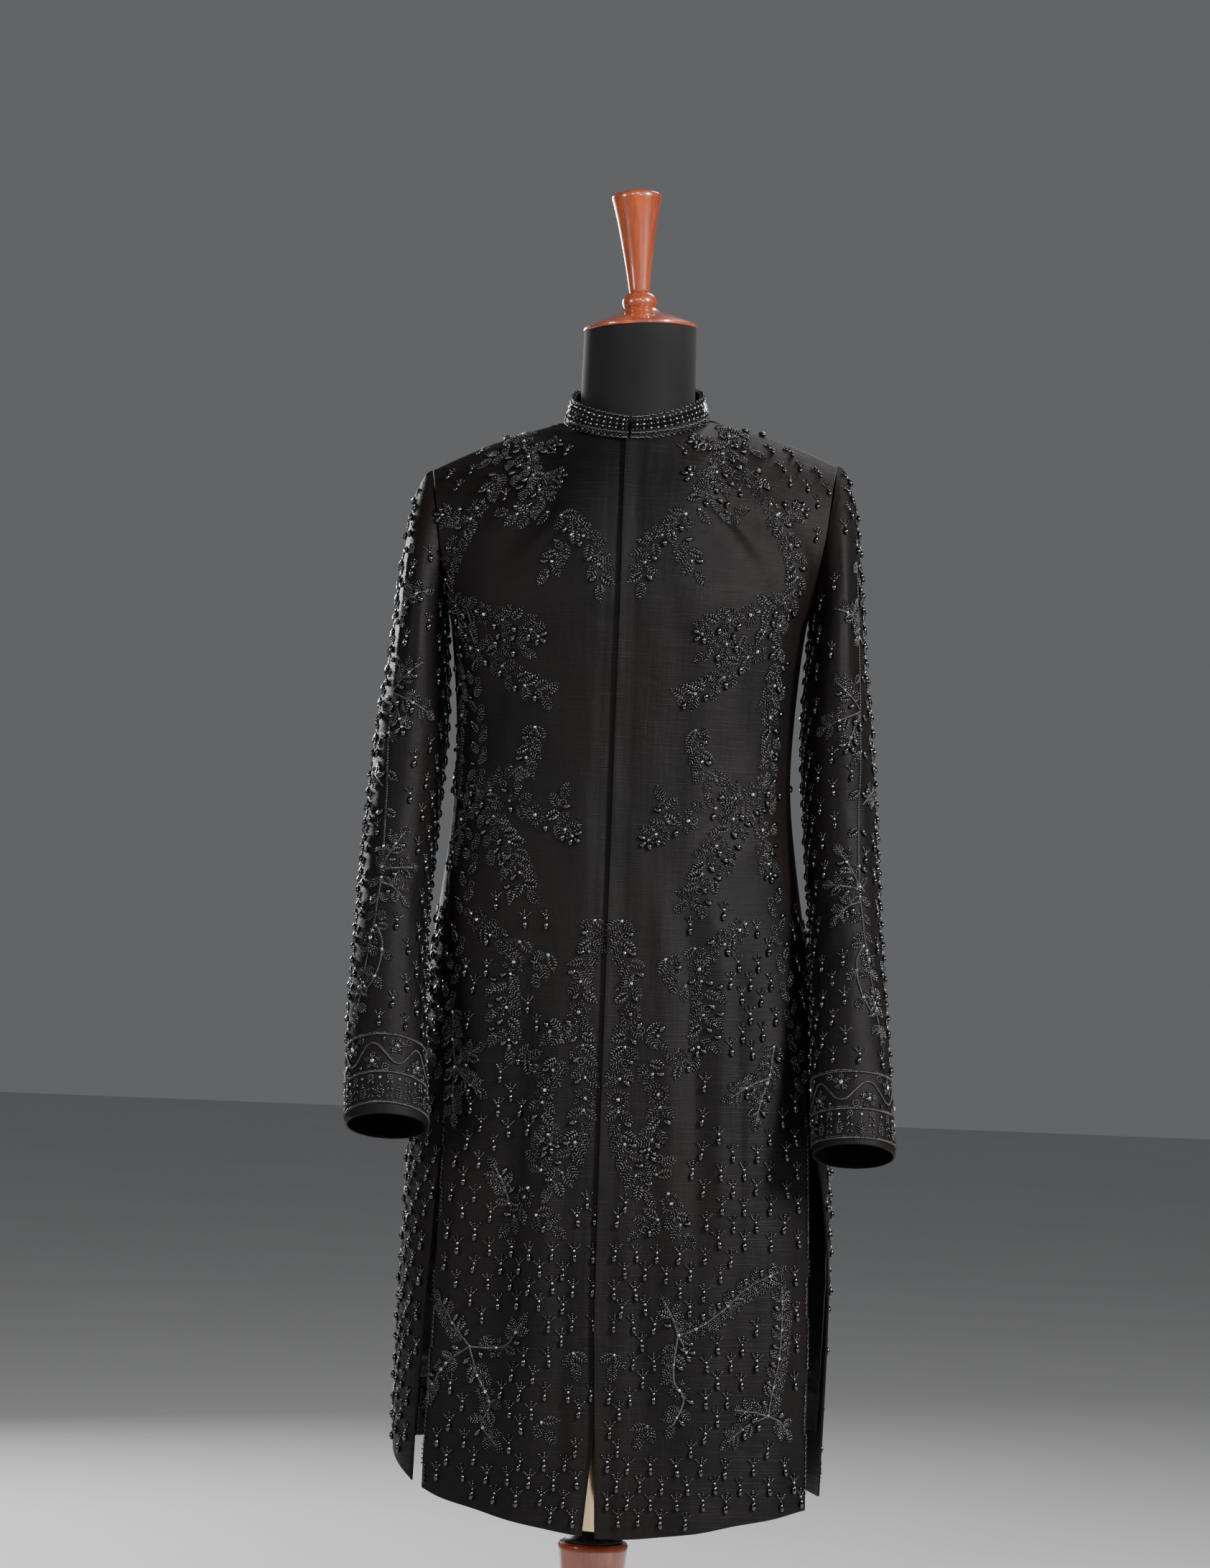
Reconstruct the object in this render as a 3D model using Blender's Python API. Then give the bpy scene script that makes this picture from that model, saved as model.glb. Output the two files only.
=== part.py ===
# A beaded sherwani coat worn by a limbless dress form on a turned wooden tripod.
# Metres, +Z up. +X is the wearer's left, -Y is the front. The floor is z = 0 under the pole.
import math

import bmesh
import bpy
import numpy as np
from mathutils import Matrix, Vector

# Walls, seams and clearances
COAT_WALL = 0.0020
COLLAR_WALL = 0.0030
LINING_WALL = 0.0010
SEAM_GAP = 0.0004
LAP_GAP = 0.0007
LAP_MARGIN = 0.0030
LAP_RAMP = 0.07
SLEEVE_GAP = 0.0006

# Key heights of the coat
LOWEST_HEM = 0.363
VENT_TOP = 0.780
UNDERARM = 1.262
BICEPS = 1.215

# The coat's outer surface below the arms, one row for each level
BODY_COLUMNS = ("height", "half_width", "front", "back", "shift")
BODY = (
    (0.340, 0.217, 0.150, 0.158, 0.012),
    (0.480, 0.217, 0.147, 0.155, 0.012),
    (0.620, 0.216, 0.142, 0.150, 0.012),
    (0.760, 0.212, 0.137, 0.146, 0.011),
    (0.900, 0.195, 0.128, 0.139, 0.006),
    (1.000, 0.180, 0.118, 0.122, 0.002),
    (1.100, 0.169, 0.110, 0.104, 0.000),
    (1.180, 0.171, 0.115, 0.103, 0.000),
    (1.262, 0.180, 0.122, 0.110, 0.000),
)
ROUNDNESS = 2.3

# Where the front meets the back at each side, as degrees round from the front
SIDE_SEAM_COLUMNS = ("height", "left", "right")
SIDE_SEAM = (
    (0.340, 66.0, 64.5),
    (0.500, 66.0, 64.0),
    (0.660, 66.5, 63.5),
    (0.780, 68.0, 64.5),
    (0.900, 73.0, 71.0),
    (1.100, 84.0, 84.0),
    (1.262, 90.0, 90.0),
)
# How far each edge has swung away from that line at the foot of its vent, in degrees
VENT_SWING = {("front", 1): 3.0, ("front", -1): -0.5, ("back", 1): 31.0, ("back", -1): 4.0}

# The hem, lowest at the centre front
HEM_COLUMNS = ("azimuth", "height")
HEM = (
    (-180.0, 0.420),
    (-120.0, 0.430),
    (-90.0, 0.430),
    (-62.0, 0.397),
    (-30.0, 0.374),
    (0.0, LOWEST_HEM),
    (30.0, 0.370),
    (66.0, 0.388),
    (110.0, 0.392),
    (180.0, 0.420),
)

# The free edges at the centre front, as x, and how the two fronts part towards the hem
OPENING_COLUMNS = ("height", "over_edge", "under_edge")
OPENING = (
    (0.340, 0.0015, -0.0145),
    (0.470, -0.0037, -0.0040),
    (0.560, -0.0078, 0.0050),
    (0.660, -0.0090, 0.0100),
    (0.750, -0.0095, 0.0150),
    (1.100, -0.0103, 0.0150),
    (1.450, -0.0105, 0.0150),
)

# Soft folds of the cloth: where they run, in degrees round and heights, and how far they stand
FOLD_COLUMNS = ("azimuth", "spread", "depth", "top", "bottom", "lean")
FOLDS = (
    (27.0, 5.0, 0.0035, 1.02, 0.36, 4.0),
    (41.0, 4.5, -0.0040, 0.98, 0.36, 3.0),
    (54.0, 5.0, 0.0045, 1.00, 0.36, 2.0),
    (16.0, 4.0, -0.0025, 0.72, 0.36, 2.0),
    (-30.0, 6.0, 0.0035, 0.90, 0.36, -3.0),
    (-45.0, 5.0, -0.0030, 0.86, 0.36, -2.0),
    (-56.0, 4.0, 0.0030, 0.80, 0.36, 0.0),
    (112.0, 8.0, 0.0060, 0.86, 0.36, 4.0),
    (134.0, 9.0, -0.0050, 0.92, 0.36, 2.0),
    (158.0, 9.0, 0.0060, 0.90, 0.36, 3.0),
    (-96.0, 8.0, 0.0055, 0.88, 0.36, -3.0),
    (-120.0, 9.0, -0.0055, 0.92, 0.36, -2.0),
    (-146.0, 9.0, 0.0060, 0.90, 0.36, -3.0),
    (-168.0, 8.0, -0.0045, 0.84, 0.36, 0.0),
)

# The neckline that the collar stands on, and the collar's upper edge
NECK_HALF_WIDTH, NECK_HALF_DEPTH, NECK_CENTRE_Y = 0.0727, 0.0700, -0.0080
NECK_FRONT_Z, NECK_BACK_Z = 1.445, 1.488
COLLAR_TOP_HALF_WIDTH, COLLAR_TOP_HALF_DEPTH, COLLAR_TOP_CENTRE_Y = 0.0661, 0.0650, -0.0025
COLLAR_TOP_FRONT_Z, COLLAR_TOP_BACK_Z = 1.4685, 1.5190
COLLAR_ENDS_X = -0.0080
COLLAR_END_GAP = 0.0026
NECK_TO_SHOULDER = 94.0
SHOULDER_POINT = (0.2050, 0.0050, 1.4250)
SHOULDER_BOW = 0.0050
NECK_SHARE = 0.42

# The sleeves, one row for each level from the biceps to the cuff
SLEEVE_COLUMNS = ("height", "out", "forward", "half_width", "half_depth", "pitch")
SLEEVE = (
    (1.215, 0.2120, -0.0060, 0.0305, 0.0770, 0.0),
    (1.165, 0.2145, -0.0040, 0.0350, 0.0725, 1.0),
    (1.100, 0.2190, 0.0040, 0.0365, 0.0670, 5.0),
    (1.030, 0.2235, 0.0180, 0.0360, 0.0620, 11.0),
    (0.950, 0.2275, 0.0520, 0.0355, 0.0560, 18.0),
    (0.850, 0.2300, 0.0890, 0.0385, 0.0510, 19.5),
    (0.738, 0.2312, 0.1280, 0.0415, 0.0455, 18.5),
)
# How each cuff hangs away from that table: outwards, forwards and upwards
CUFF_SWING = {1: (0.009, -0.003, 0.004), -1: (-0.013, 0.006, 0.016)}
SLEEVE_FRONT_SEAM, SLEEVE_BACK_SEAM = 150.0, 246.0

# The upper body sits a little crooked on its pole, lower at the wearer's right
LEAN = 0.050
LEAN_FROM, LEAN_FULL = 1.04, 1.36

# The dress form
FORM_BOTTOM = 0.735
SHOULDER_EASE, CHEST_EASE = 0.0005, 0.0048
NECK_TOP = 1.5630
NECK_RADIUS_LOW, NECK_RADIUS_TOP = 0.0600, 0.0583
FORM_NECK_CENTRE_Y = -0.0025
NECK_LEAN_FORWARD = 0.004
CAP_TILT = 3.8
CAP_RADIUS = 0.0583
POLE_RADIUS = 0.0160
HUB_TOP = 0.340
HUB_TOP_RADIUS = 0.0360
RING_RADIUS, RING_HEIGHT = 0.0300, 0.0110
LEG_COUNT = 3
LEG_REACH = 0.285
LEG_THICKNESS = 0.026
SCREW_AZIMUTH = 23.0
SCREW_HEIGHT = 0.3120
SCREW_RADIUS = 0.0060
TURN_STEPS = 30

FABRIC_BLACK = (0.014, 0.013, 0.014)
SATIN_BLACK = (0.010, 0.010, 0.012)
JERSEY_BLACK = (0.012, 0.012, 0.013)
WOOD_RED = (0.290, 0.045, 0.014)
BRASS = (0.80, 0.60, 0.34)
RUBBER_BLACK = (0.02, 0.02, 0.02)


def clear_scene():
    for item in list(bpy.data.objects):
        bpy.data.objects.remove(item)


def material(name, colour, roughness, metallic=0.0):
    made = bpy.data.materials.get(name)
    if made is None:
        made = bpy.data.materials.new(name)
        made.use_nodes = True
        shader = made.node_tree.nodes["Principled BSDF"]
        shader.inputs["Base Color"].default_value = (*colour, 1.0)
        shader.inputs["Roughness"].default_value = roughness
        shader.inputs["Metallic"].default_value = metallic
        made.diffuse_color = (*colour, 1.0)
    return made


def smooth_through(stations, values, at):
    # A cubic curve through a table's rows, with the slope at a row taken from its neighbours
    stations = np.asarray(stations, float)
    values = np.asarray(values, float)
    slopes = np.gradient(values, stations)
    at = float(np.clip(at, stations[0], stations[-1]))
    row = int(np.clip(np.searchsorted(stations, at) - 1, 0, len(stations) - 2))
    span = stations[row + 1] - stations[row]
    t = (at - stations[row]) / span
    from_low = (1 + 2 * t) * (1 - t) ** 2 * values[row] + t * (1 - t) ** 2 * span * slopes[row]
    from_high = t * t * (3 - 2 * t) * values[row + 1] + t * t * (t - 1) * span * slopes[row + 1]
    return from_low + from_high


def look_up(table, columns, column, height):
    rows = sorted(table)
    place = columns.index(column)
    return smooth_through([row[0] for row in rows], [row[place] for row in rows], height)


def ease(value, low, high):
    t = min(1.0, max(0.0, (value - low) / (high - low)))
    return t * t * (3 - 2 * t)


def hermite(start, start_slope, end, end_slope, t):
    # A cubic from one point to another with given slopes at both
    return (
        (1 + 2 * t) * (1 - t) ** 2 * start
        + t * (1 - t) ** 2 * start_slope
        + t * t * (3 - 2 * t) * end
        + t * t * (t - 1) * end_slope
    )


def unit(vector):
    return vector / max(np.linalg.norm(vector), 1e-12)


def leaned(point):
    # The upper body's slant: it lifts the wearer's left and lowers the right
    share = ease(point[2], LEAN_FROM, LEAN_FULL)
    return np.array([point[0], point[1], point[2] + LEAN * point[0] * share])


# The coat's body below the arms

def body(column, height):
    return look_up(BODY, BODY_COLUMNS, column, height)


def fold_height(azimuth, height):
    raised = 0.0
    for row in FOLDS:
        fold = dict(zip(FOLD_COLUMNS, row))
        along = ease(fold["top"] - height, 0.0, fold["top"] - fold["bottom"])
        middle = fold["azimuth"] + fold["lean"] * along
        away = (azimuth - middle) / fold["spread"]
        raised += fold["depth"] * along * math.exp(-away * away)
    return raised


def body_point(azimuth, height):
    # A point of the coat's outer surface: azimuth in degrees round from the front
    turn = math.radians(azimuth)
    depth = body("front", height) if math.cos(turn) > 0 else body("back", height)
    across = (abs(math.sin(turn)) / body("half_width", height)) ** ROUNDNESS
    through = (abs(math.cos(turn)) / depth) ** ROUNDNESS
    reach = (across + through) ** (-1 / ROUNDNESS) + fold_height(azimuth, height)
    x = body("shift", height) + reach * math.sin(turn)
    return np.array([x, -reach * math.cos(turn), height])


def panel_edge(which, side, height):
    # The azimuth of a panel's side edge: the side seam, or below it the vent's edge
    seam = look_up(SIDE_SEAM, SIDE_SEAM_COLUMNS, "left" if side > 0 else "right", height)
    open_share = min(1.0, max(0.0, (VENT_TOP - height) / (VENT_TOP - LOWEST_HEM)))
    return side * (seam + VENT_SWING[which, side] * math.sin(open_share * math.pi / 2))


def hem_height(azimuth):
    return look_up(HEM, HEM_COLUMNS, "height", azimuth)


def azimuth_of_x(x, height):
    # The azimuth at which the front surface has this x, near the centre front
    return math.degrees(math.atan2(x - body("shift", height), body("front", height)))


# The coat's shoulders, from the underarm level up to the neckline and the shoulder seam

def neck_rise(turn):
    return ((1 - math.cos(turn)) / 2) ** 0.8


def neckline(azimuth):
    turn = math.radians(azimuth)
    return np.array([
        NECK_HALF_WIDTH * math.sin(turn),
        NECK_CENTRE_Y - NECK_HALF_DEPTH * math.cos(turn),
        NECK_FRONT_Z + (NECK_BACK_Z - NECK_FRONT_Z) * neck_rise(turn),
    ])


def shoulder_seam(share, side):
    start = neckline(side * NECK_TO_SHOULDER)
    end = np.array([side * SHOULDER_POINT[0], SHOULDER_POINT[1], SHOULDER_POINT[2]])
    bow = np.array([0.0, 0.0, SHOULDER_BOW * 4 * share * (1 - share)])
    return start + (end - start) * share + bow


class Quarter:
    # One quarter of the coat above the underarm: front or back, left or right.
    # Across runs from the centre line (0) to the armhole (1), and up from the underarm (0) to the top (1).
    def __init__(self, side, is_front):
        self.side = side
        self.is_front = is_front
        self.centre = 0.0 if is_front else 180.0

    def low_azimuth(self, across):
        return self.side * (self.centre + (90.0 - self.centre) * across)

    def low_point(self, across):
        return body_point(self.low_azimuth(across), UNDERARM)

    def low_slope(self, across):
        azimuth = self.low_azimuth(across)
        rise = body_point(azimuth, UNDERARM) - body_point(azimuth, UNDERARM - 0.01)
        return unit(rise)

    def top_point(self, across):
        if across < NECK_SHARE:
            share = across / NECK_SHARE
            return neckline(self.side * (self.centre + (NECK_TO_SHOULDER - self.centre) * share))
        return shoulder_seam((across - NECK_SHARE) / (1 - NECK_SHARE), self.side)

    def top_slope(self, across):
        if self.is_front:
            centre, neck_side, shoulder = (0.0, 0.42, 0.90), (-0.10, 0.86, 0.34), (0.02, 0.92, 0.20)
        else:
            centre, neck_side, shoulder = (0.0, -0.30, 0.95), (-0.10, -0.90, 0.30), (0.02, -0.92, 0.20)
        low, high = (centre, neck_side) if across < NECK_SHARE else (neck_side, shoulder)
        share = across / NECK_SHARE if across < NECK_SHARE else (across - NECK_SHARE) / (1 - NECK_SHARE)
        share = ease(share, 0.0, 1.0)
        mixed = np.array(low) * (1 - share) + np.array(high) * share
        return unit(mixed * np.array([self.side, 1.0, 1.0]))

    def armhole_slopes(self):
        # How the armhole leaves the underarm and arrives at the shoulder point
        if self.is_front:
            return np.array([0.020 * self.side, -0.205, 0.085]), np.array([0.015 * self.side, 0.190, 0.120])
        return np.array([0.020 * self.side, 0.215, 0.090]), np.array([0.015 * self.side, -0.205, 0.125])

    def point(self, across, up):
        low, top = self.low_point(across), self.top_point(across)
        length = np.linalg.norm(top - low)
        low_slope = self.low_slope(across) * length * 0.95
        top_slope = self.top_slope(across) * length * (1.10 - 0.25 * across)
        hole_low, hole_top = self.armhole_slopes()
        edge = across ** 4
        low_slope = low_slope * (1 - edge) + hole_low * edge
        top_slope = top_slope * (1 - edge) + hole_top * edge
        return hermite(low, low_slope, top, top_slope, up)


# Walls: a grid of outer points and the same grid moved in by the wall's thickness

def grid_normals(surface, across_values, up_values, outward):
    # Surface normals from small steps on the surface itself, so that neighbours agree at their seam
    step = 0.004
    normals = []
    for up in up_values:
        row = []
        for across in across_values:
            a = surface(across + step, up) - surface(across - step, up)
            b = surface(across, up + step) - surface(across, up - step)
            normal = unit(np.cross(a, b))
            row.append(normal if np.dot(normal, outward(surface(across, up))) > 0 else -normal)
        normals.append(row)
    return np.array(normals)


def wall_object(name, outer, inner, finish, closed_round=False):
    # Joins an outer and an inner grid of points into one closed wall
    rows, columns = outer.shape[:2]
    points = np.concatenate([outer.reshape(-1, 3), inner.reshape(-1, 3)])
    count = rows * columns

    def at(layer, row, column):
        return layer * count + row * columns + column % columns

    faces = []
    spans = columns if closed_round else columns - 1
    for row in range(rows - 1):
        for column in range(spans):
            near = [at(0, row, column), at(0, row, column + 1), at(0, row + 1, column + 1), at(0, row + 1, column)]
            far = [at(1, row, column), at(1, row + 1, column), at(1, row + 1, column + 1), at(1, row, column + 1)]
            faces += [near, far]
    for column in range(spans):
        for row, turn in ((0, False), (rows - 1, True)):
            rim = [at(0, row, column), at(1, row, column), at(1, row, column + 1), at(0, row, column + 1)]
            faces.append(rim[::-1] if turn else rim)
    if not closed_round:
        for row in range(rows - 1):
            for column, turn in ((0, True), (columns - 1, False)):
                rim = [at(0, row, column), at(1, row, column), at(1, row + 1, column), at(0, row + 1, column)]
                faces.append(rim[::-1] if turn else rim)
    return mesh_object(name, points, faces, finish)


def mesh_object(name, points, faces, finish, merge=1e-6):
    mesh = bpy.data.meshes.new(name)
    mesh.from_pydata([tuple(point) for point in points], [], faces)
    work = bmesh.new()
    work.from_mesh(mesh)
    bmesh.ops.remove_doubles(work, verts=work.verts, dist=merge)
    bmesh.ops.recalc_face_normals(work, faces=work.faces)
    work.to_mesh(mesh)
    work.free()
    mesh.materials.append(finish)
    mesh.shade_smooth()
    mesh.set_sharp_from_angle(angle=math.radians(40))
    made = bpy.data.objects.new(name, mesh)
    bpy.context.scene.collection.objects.link(made)
    return made


def shares(count, crowd_low=0.0, crowd_high=0.0):
    # Evenly spaced values from 0 to 1, crowded towards either end if asked
    t = np.linspace(0.0, 1.0, count)
    t = t - crowd_low * t * (1 - t) * (1 - t) * 1.5
    return t + crowd_high * t * t * (1 - t) * 1.5


# The coat's panels

BODY_ROWS, SHOULDER_ROWS = 15, 10
FRONT_COLUMNS, BACK_COLUMNS = 15, 13


def panel_surface(side, is_front):
    # One panel as a surface of (across, up): up runs 0 to 1 below the underarm and 1 to 2 above it
    which = "front" if is_front else "back"
    centre_edge = "over_edge" if side > 0 else "under_edge"
    quarters = {1: Quarter(1, is_front), -1: Quarter(-1, is_front)}
    top_x = look_up(OPENING, OPENING_COLUMNS, centre_edge, NECK_FRONT_Z)
    chest_start = azimuth_of_x(top_x, UNDERARM) / 90.0
    neck_start = math.degrees(math.asin(top_x / NECK_HALF_WIDTH)) / NECK_TO_SHOULDER * NECK_SHARE

    def below(across, up):
        lowest = LOWEST_HEM
        for _ in range(3):
            height = lowest + (UNDERARM - lowest) * up
            edge = panel_edge(which, side, height)
            if is_front:
                centre = azimuth_of_x(look_up(OPENING, OPENING_COLUMNS, centre_edge, height), height)
            else:
                centre = side * 180.0
            azimuth = centre + (edge - centre) * across
            lowest = hem_height(azimuth)
        return body_point(azimuth, lowest + (UNDERARM - lowest) * up)

    def surface(across, up):
        if up <= 1.0:
            return below(across, up)
        if not is_front:
            return quarters[side].point(across, up - 1.0)
        start = chest_start + (neck_start - chest_start) * (up - 1.0)
        reach = start + (side - start) * across
        return quarters[1 if reach >= 0 else -1].point(abs(reach), up - 1.0)

    return surface


def outward_from_axis(point):
    # Roughly away from the body's middle, also up on the shoulders
    rise = 1.6 * max(0.0, point[2] - 1.30) / 0.15
    return np.array([point[0], point[1] * 1.5, 0.12 * rise])


def trimmed(surface, across, up, low_gap, high_gap):
    # The same surface with a seam's half gap taken off both of its sides
    width = np.linalg.norm(surface(1.0, up) - surface(0.0, up)) + 0.02
    start, end = low_gap / width, 1.0 - high_gap / width
    return start + (end - start) * across


# The wearer's right front steps in under the left one: at how many of its columns
LAP_COLUMNS = 3


def lap_acrosses(surface, up, columns):
    # Columns of the front that lies under: the first few are under the other front's edge
    low, high = 0.0, 0.5
    for _ in range(14):
        middle = (low + high) / 2
        point = surface(middle, up)
        edge = look_up(OPENING, OPENING_COLUMNS, "over_edge", min(point[2], NECK_FRONT_Z))
        low, high = (middle, high) if point[0] > edge - LAP_MARGIN else (low, middle)
    hidden = max(high, 0.02)
    return np.concatenate([
        np.linspace(0.0, hidden, LAP_COLUMNS),
        hidden + LAP_RAMP + (1.0 - hidden - LAP_RAMP) * shares(columns - LAP_COLUMNS, 0.0, 0.30),
    ])


def panel_grid(side, is_front, columns):
    # The panel's outer points and their outward normals, before the body's lean
    surface = panel_surface(side, is_front)
    ups = np.concatenate([shares(BODY_ROWS), 1.0 + shares(SHOULDER_ROWS + 1)[1:]])
    ups[-1] -= 0.35 * SEAM_GAP / 0.18
    low_gap = 0.0 if is_front else SEAM_GAP * 0.7
    outer, normals = [], []
    for up in ups:
        if is_front and side < 0:
            acrosses = lap_acrosses(surface, up, columns)
        else:
            acrosses = shares(columns, 0.25 if is_front else 0.0, 0.30)
        line = [trimmed(surface, across, up, low_gap, SEAM_GAP) for across in acrosses]
        outer.append([surface(across, up) for across in line])
        normals.append(grid_normals(surface, line, [up], outward_from_axis)[0])
    outer, normals = np.array(outer), np.array(normals)
    along_seam = unit(shoulder_seam(1.0, side) - shoulder_seam(0.0, side))
    seam_normal = unit(np.cross(along_seam, np.array([0.0, side, 0.0])))
    seam_normal = seam_normal if seam_normal[2] > 0 else -seam_normal
    for column in range(columns):
        if abs(outer[-1, column, 0]) > NECK_HALF_WIDTH - 0.001:
            normals[-1, column] = seam_normal
    if is_front and side < 0:
        outer[:, :LAP_COLUMNS] -= normals[:, :LAP_COLUMNS] * (COAT_WALL + LAP_GAP)
    return outer, normals


def lean_all(grid):
    return np.array([[leaned(point) for point in row] for row in grid])


def coat_panel(name, side, is_front, columns, finish):
    outer, normals = panel_grid(side, is_front, columns)
    inner = outer - normals * COAT_WALL
    return wall_object(name, lean_all(outer), lean_all(inner), finish)


# The sleeves

def armhole(side, turn):
    # The armhole's edge, as degrees round: 0 at the shoulder point, 90 in front, 180 under the arm
    if turn <= 180.0:
        return Quarter(side, True).point(1.0, 1.0 - turn / 180.0)
    return Quarter(side, False).point(1.0, (turn - 180.0) / 180.0)


def sleeve(column, height):
    return look_up(SLEEVE, SLEEVE_COLUMNS, column, height)


def sleeve_point(side, turn, height):
    # A point of the hanging sleeve below the biceps, on a ring square to the arm
    cuff = SLEEVE[-1][0]
    down = ((BICEPS - height) / (BICEPS - cuff)) ** 3 if height < BICEPS else 0.0
    out_swing, forward_swing, up_swing = CUFF_SWING[side]
    angle = math.radians(turn)
    pitch = math.radians(sleeve("pitch", height))
    wide = sleeve("half_width", height) * math.cos(angle)
    deep = sleeve("half_depth", height) * math.sin(angle)
    x = sleeve("out", height) + wide + out_swing * down
    y = -(sleeve("forward", height) + forward_swing * down) - deep * math.cos(pitch)
    z = height + up_swing * down + deep * math.sin(pitch)
    return np.array([side * x, y, z])


def sleeve_cap_point(side, turn, along):
    # The sleeve head: from the armhole out and down to the biceps
    angle = math.radians(turn)
    start = armhole(side, turn % 360.0)
    leave = np.array([side * (0.60 + 0.40 * math.cos(angle)), -0.55 * math.sin(angle), -0.48 + 0.30 * math.cos(angle)])
    start = start + SLEEVE_GAP * np.array([side, 0.0, 0.0])
    end = sleeve_point(side, turn, BICEPS)
    length = np.linalg.norm(end - start)
    top_share = (1 + math.cos(angle)) / 2
    start_slope = unit(leave) * length * (0.9 - 0.45 * top_share)
    ahead = sleeve_point(side, turn, BICEPS - 0.01) - end
    end_slope = unit(ahead) * length * (0.9 + 0.25 * top_share)
    return hermite(start, start_slope, end, end_slope, along)


def sleeve_surface(side):
    def surface(across, down):
        turn = across * 360.0
        if down <= 1.0:
            return sleeve_cap_point(side, turn, down)
        height = BICEPS + (SLEEVE[-1][0] - BICEPS) * (down - 1.0)
        return sleeve_point(side, turn, height)

    return surface


CAP_ROWS, ARM_ROWS = 8, 14


def sleeve_half(name, side, start, end, columns, finish):
    surface = sleeve_surface(side)
    downs = np.concatenate([shares(CAP_ROWS, 0.3), 1.0 + shares(ARM_ROWS + 1)[1:]])
    outer, normals = [], []
    for down in downs:
        round_it = np.linalg.norm(surface(0.0, down) - surface(0.5, down)) * 2.4 + 0.02
        gap = SEAM_GAP / 2 / round_it
        line = start + gap + (end - start - 2 * gap) * shares(columns)
        if start < 0.0 < end:
            # one column meets the armhole's peak at the shoulder point
            line[np.argmin(np.abs(line))] = 0.0
        middle = (surface(0.0, down) + surface(0.5, down)) / 2

        def outward(point, middle=middle):
            return point - middle

        outer.append([surface(across, down) for across in line])
        normals.append(grid_normals(surface, line, [down], outward)[0])
    outer, normals = np.array(outer), np.array(normals)
    inner = outer - normals * COAT_WALL
    return wall_object(name, lean_all(outer), lean_all(inner), finish)


# The stand collar: a padded band with a cord along each edge

COLLAR_PROFILE = (
    # share of the height, how far the outside stands proud of the band
    (0.00, 0.0000), (0.06, 0.0008), (0.13, 0.0008), (0.19, 0.0001), (0.25, 0.0009),
    (0.32, 0.0009), (0.38, 0.0002), (0.88, 0.0002), (0.93, 0.0010), (1.00, 0.0004),
)
COLLAR_COLUMNS_COUNT = 33
COLLAR_SEAT = 0.0007


def collar_point(azimuth, up):
    turn = math.radians(azimuth)
    low = neckline(azimuth) + np.array([0.0, 0.0, COLLAR_SEAT])
    high = np.array([
        COLLAR_TOP_HALF_WIDTH * math.sin(turn),
        COLLAR_TOP_CENTRE_Y - COLLAR_TOP_HALF_DEPTH * math.cos(turn),
        COLLAR_TOP_FRONT_Z + (COLLAR_TOP_BACK_Z - COLLAR_TOP_FRONT_Z) * neck_rise(turn),
    ])
    return low + (high - low) * up


def collar(finish):
    middle = math.degrees(math.asin(COLLAR_ENDS_X / NECK_HALF_WIDTH))
    half_gap = math.degrees(COLLAR_END_GAP / 2 / NECK_HALF_DEPTH)
    azimuths = middle + half_gap + (360.0 - 2 * half_gap) * shares(COLLAR_COLUMNS_COUNT)
    outer, inner = [], []
    for up, proud in COLLAR_PROFILE:
        outer_row, inner_row = [], []
        for azimuth in azimuths:
            a = collar_point(azimuth + 1.0, up) - collar_point(azimuth - 1.0, up)
            b = collar_point(azimuth, 1.0) - collar_point(azimuth, 0.0)
            normal = unit(np.cross(a, b))
            point = collar_point(azimuth, up)
            middle_of_neck = np.array([0.0, NECK_CENTRE_Y, point[2]])
            if np.dot(normal, point - middle_of_neck) < 0:
                normal = -normal
            outer_row.append(leaned(point + normal * proud))
            inner_row.append(leaned(point - normal * COLLAR_WALL))
        outer.append(outer_row)
        inner.append(inner_row)
    return wall_object("collar", np.array(outer), np.array(inner), finish)


# The satin lining that shows inside the back skirt, through the side vent.
# It lies on the back panels' own points, from one column inside their edges.

LINING_ROWS = (1, 8)
LINING_COLUMNS = (0, BACK_COLUMNS - 1)


def back_lining(name, side, finish):
    outer, normals = panel_grid(side, False, BACK_COLUMNS)
    rows, columns = slice(*LINING_ROWS), slice(*LINING_COLUMNS)
    outer, normals = outer[rows, columns], normals[rows, columns]
    face = outer - normals * (COAT_WALL + LAP_GAP)
    inner = face - normals * LINING_WALL
    return wall_object(name, lean_all(face), lean_all(inner), finish)


# The dress form's padded body, made from the coat's own surface moved in, so that it carries the coat

FORM_LOW_ROWS, FORM_HIGH_ROWS = 9, 8
FORM_ACROSS = (0.0, 0.10, 0.21, 0.32, NECK_SHARE, 0.53, 0.64, 0.75, 0.85, 0.93, 1.0)
PLATE_POINTS = 3
# How the neck leaves the shoulders: share of its height, share of the way in to its own radius
NECK_RINGS = ((0.03, 0.60), (0.08, 0.93), (0.16, 1.0), (0.5, 1.0), (1.0, 1.0))


def form_ease(height, across, below_seam):
    # How far the form lies inside the coat: it carries it at the shoulder seam and is loose below the chest
    loose = 0.010 * ease(1.26 - height, 0.0, 0.16) + 0.012 * ease(1.0 - height, 0.0, 0.2)
    away = max(ease(below_seam, 0.0, 0.25), ease(across, 0.78, 0.93), 1.0 if across < NECK_SHARE else 0.0)
    return COAT_WALL + SHOULDER_EASE + (CHEST_EASE - SHOULDER_EASE) * away + loose


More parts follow.
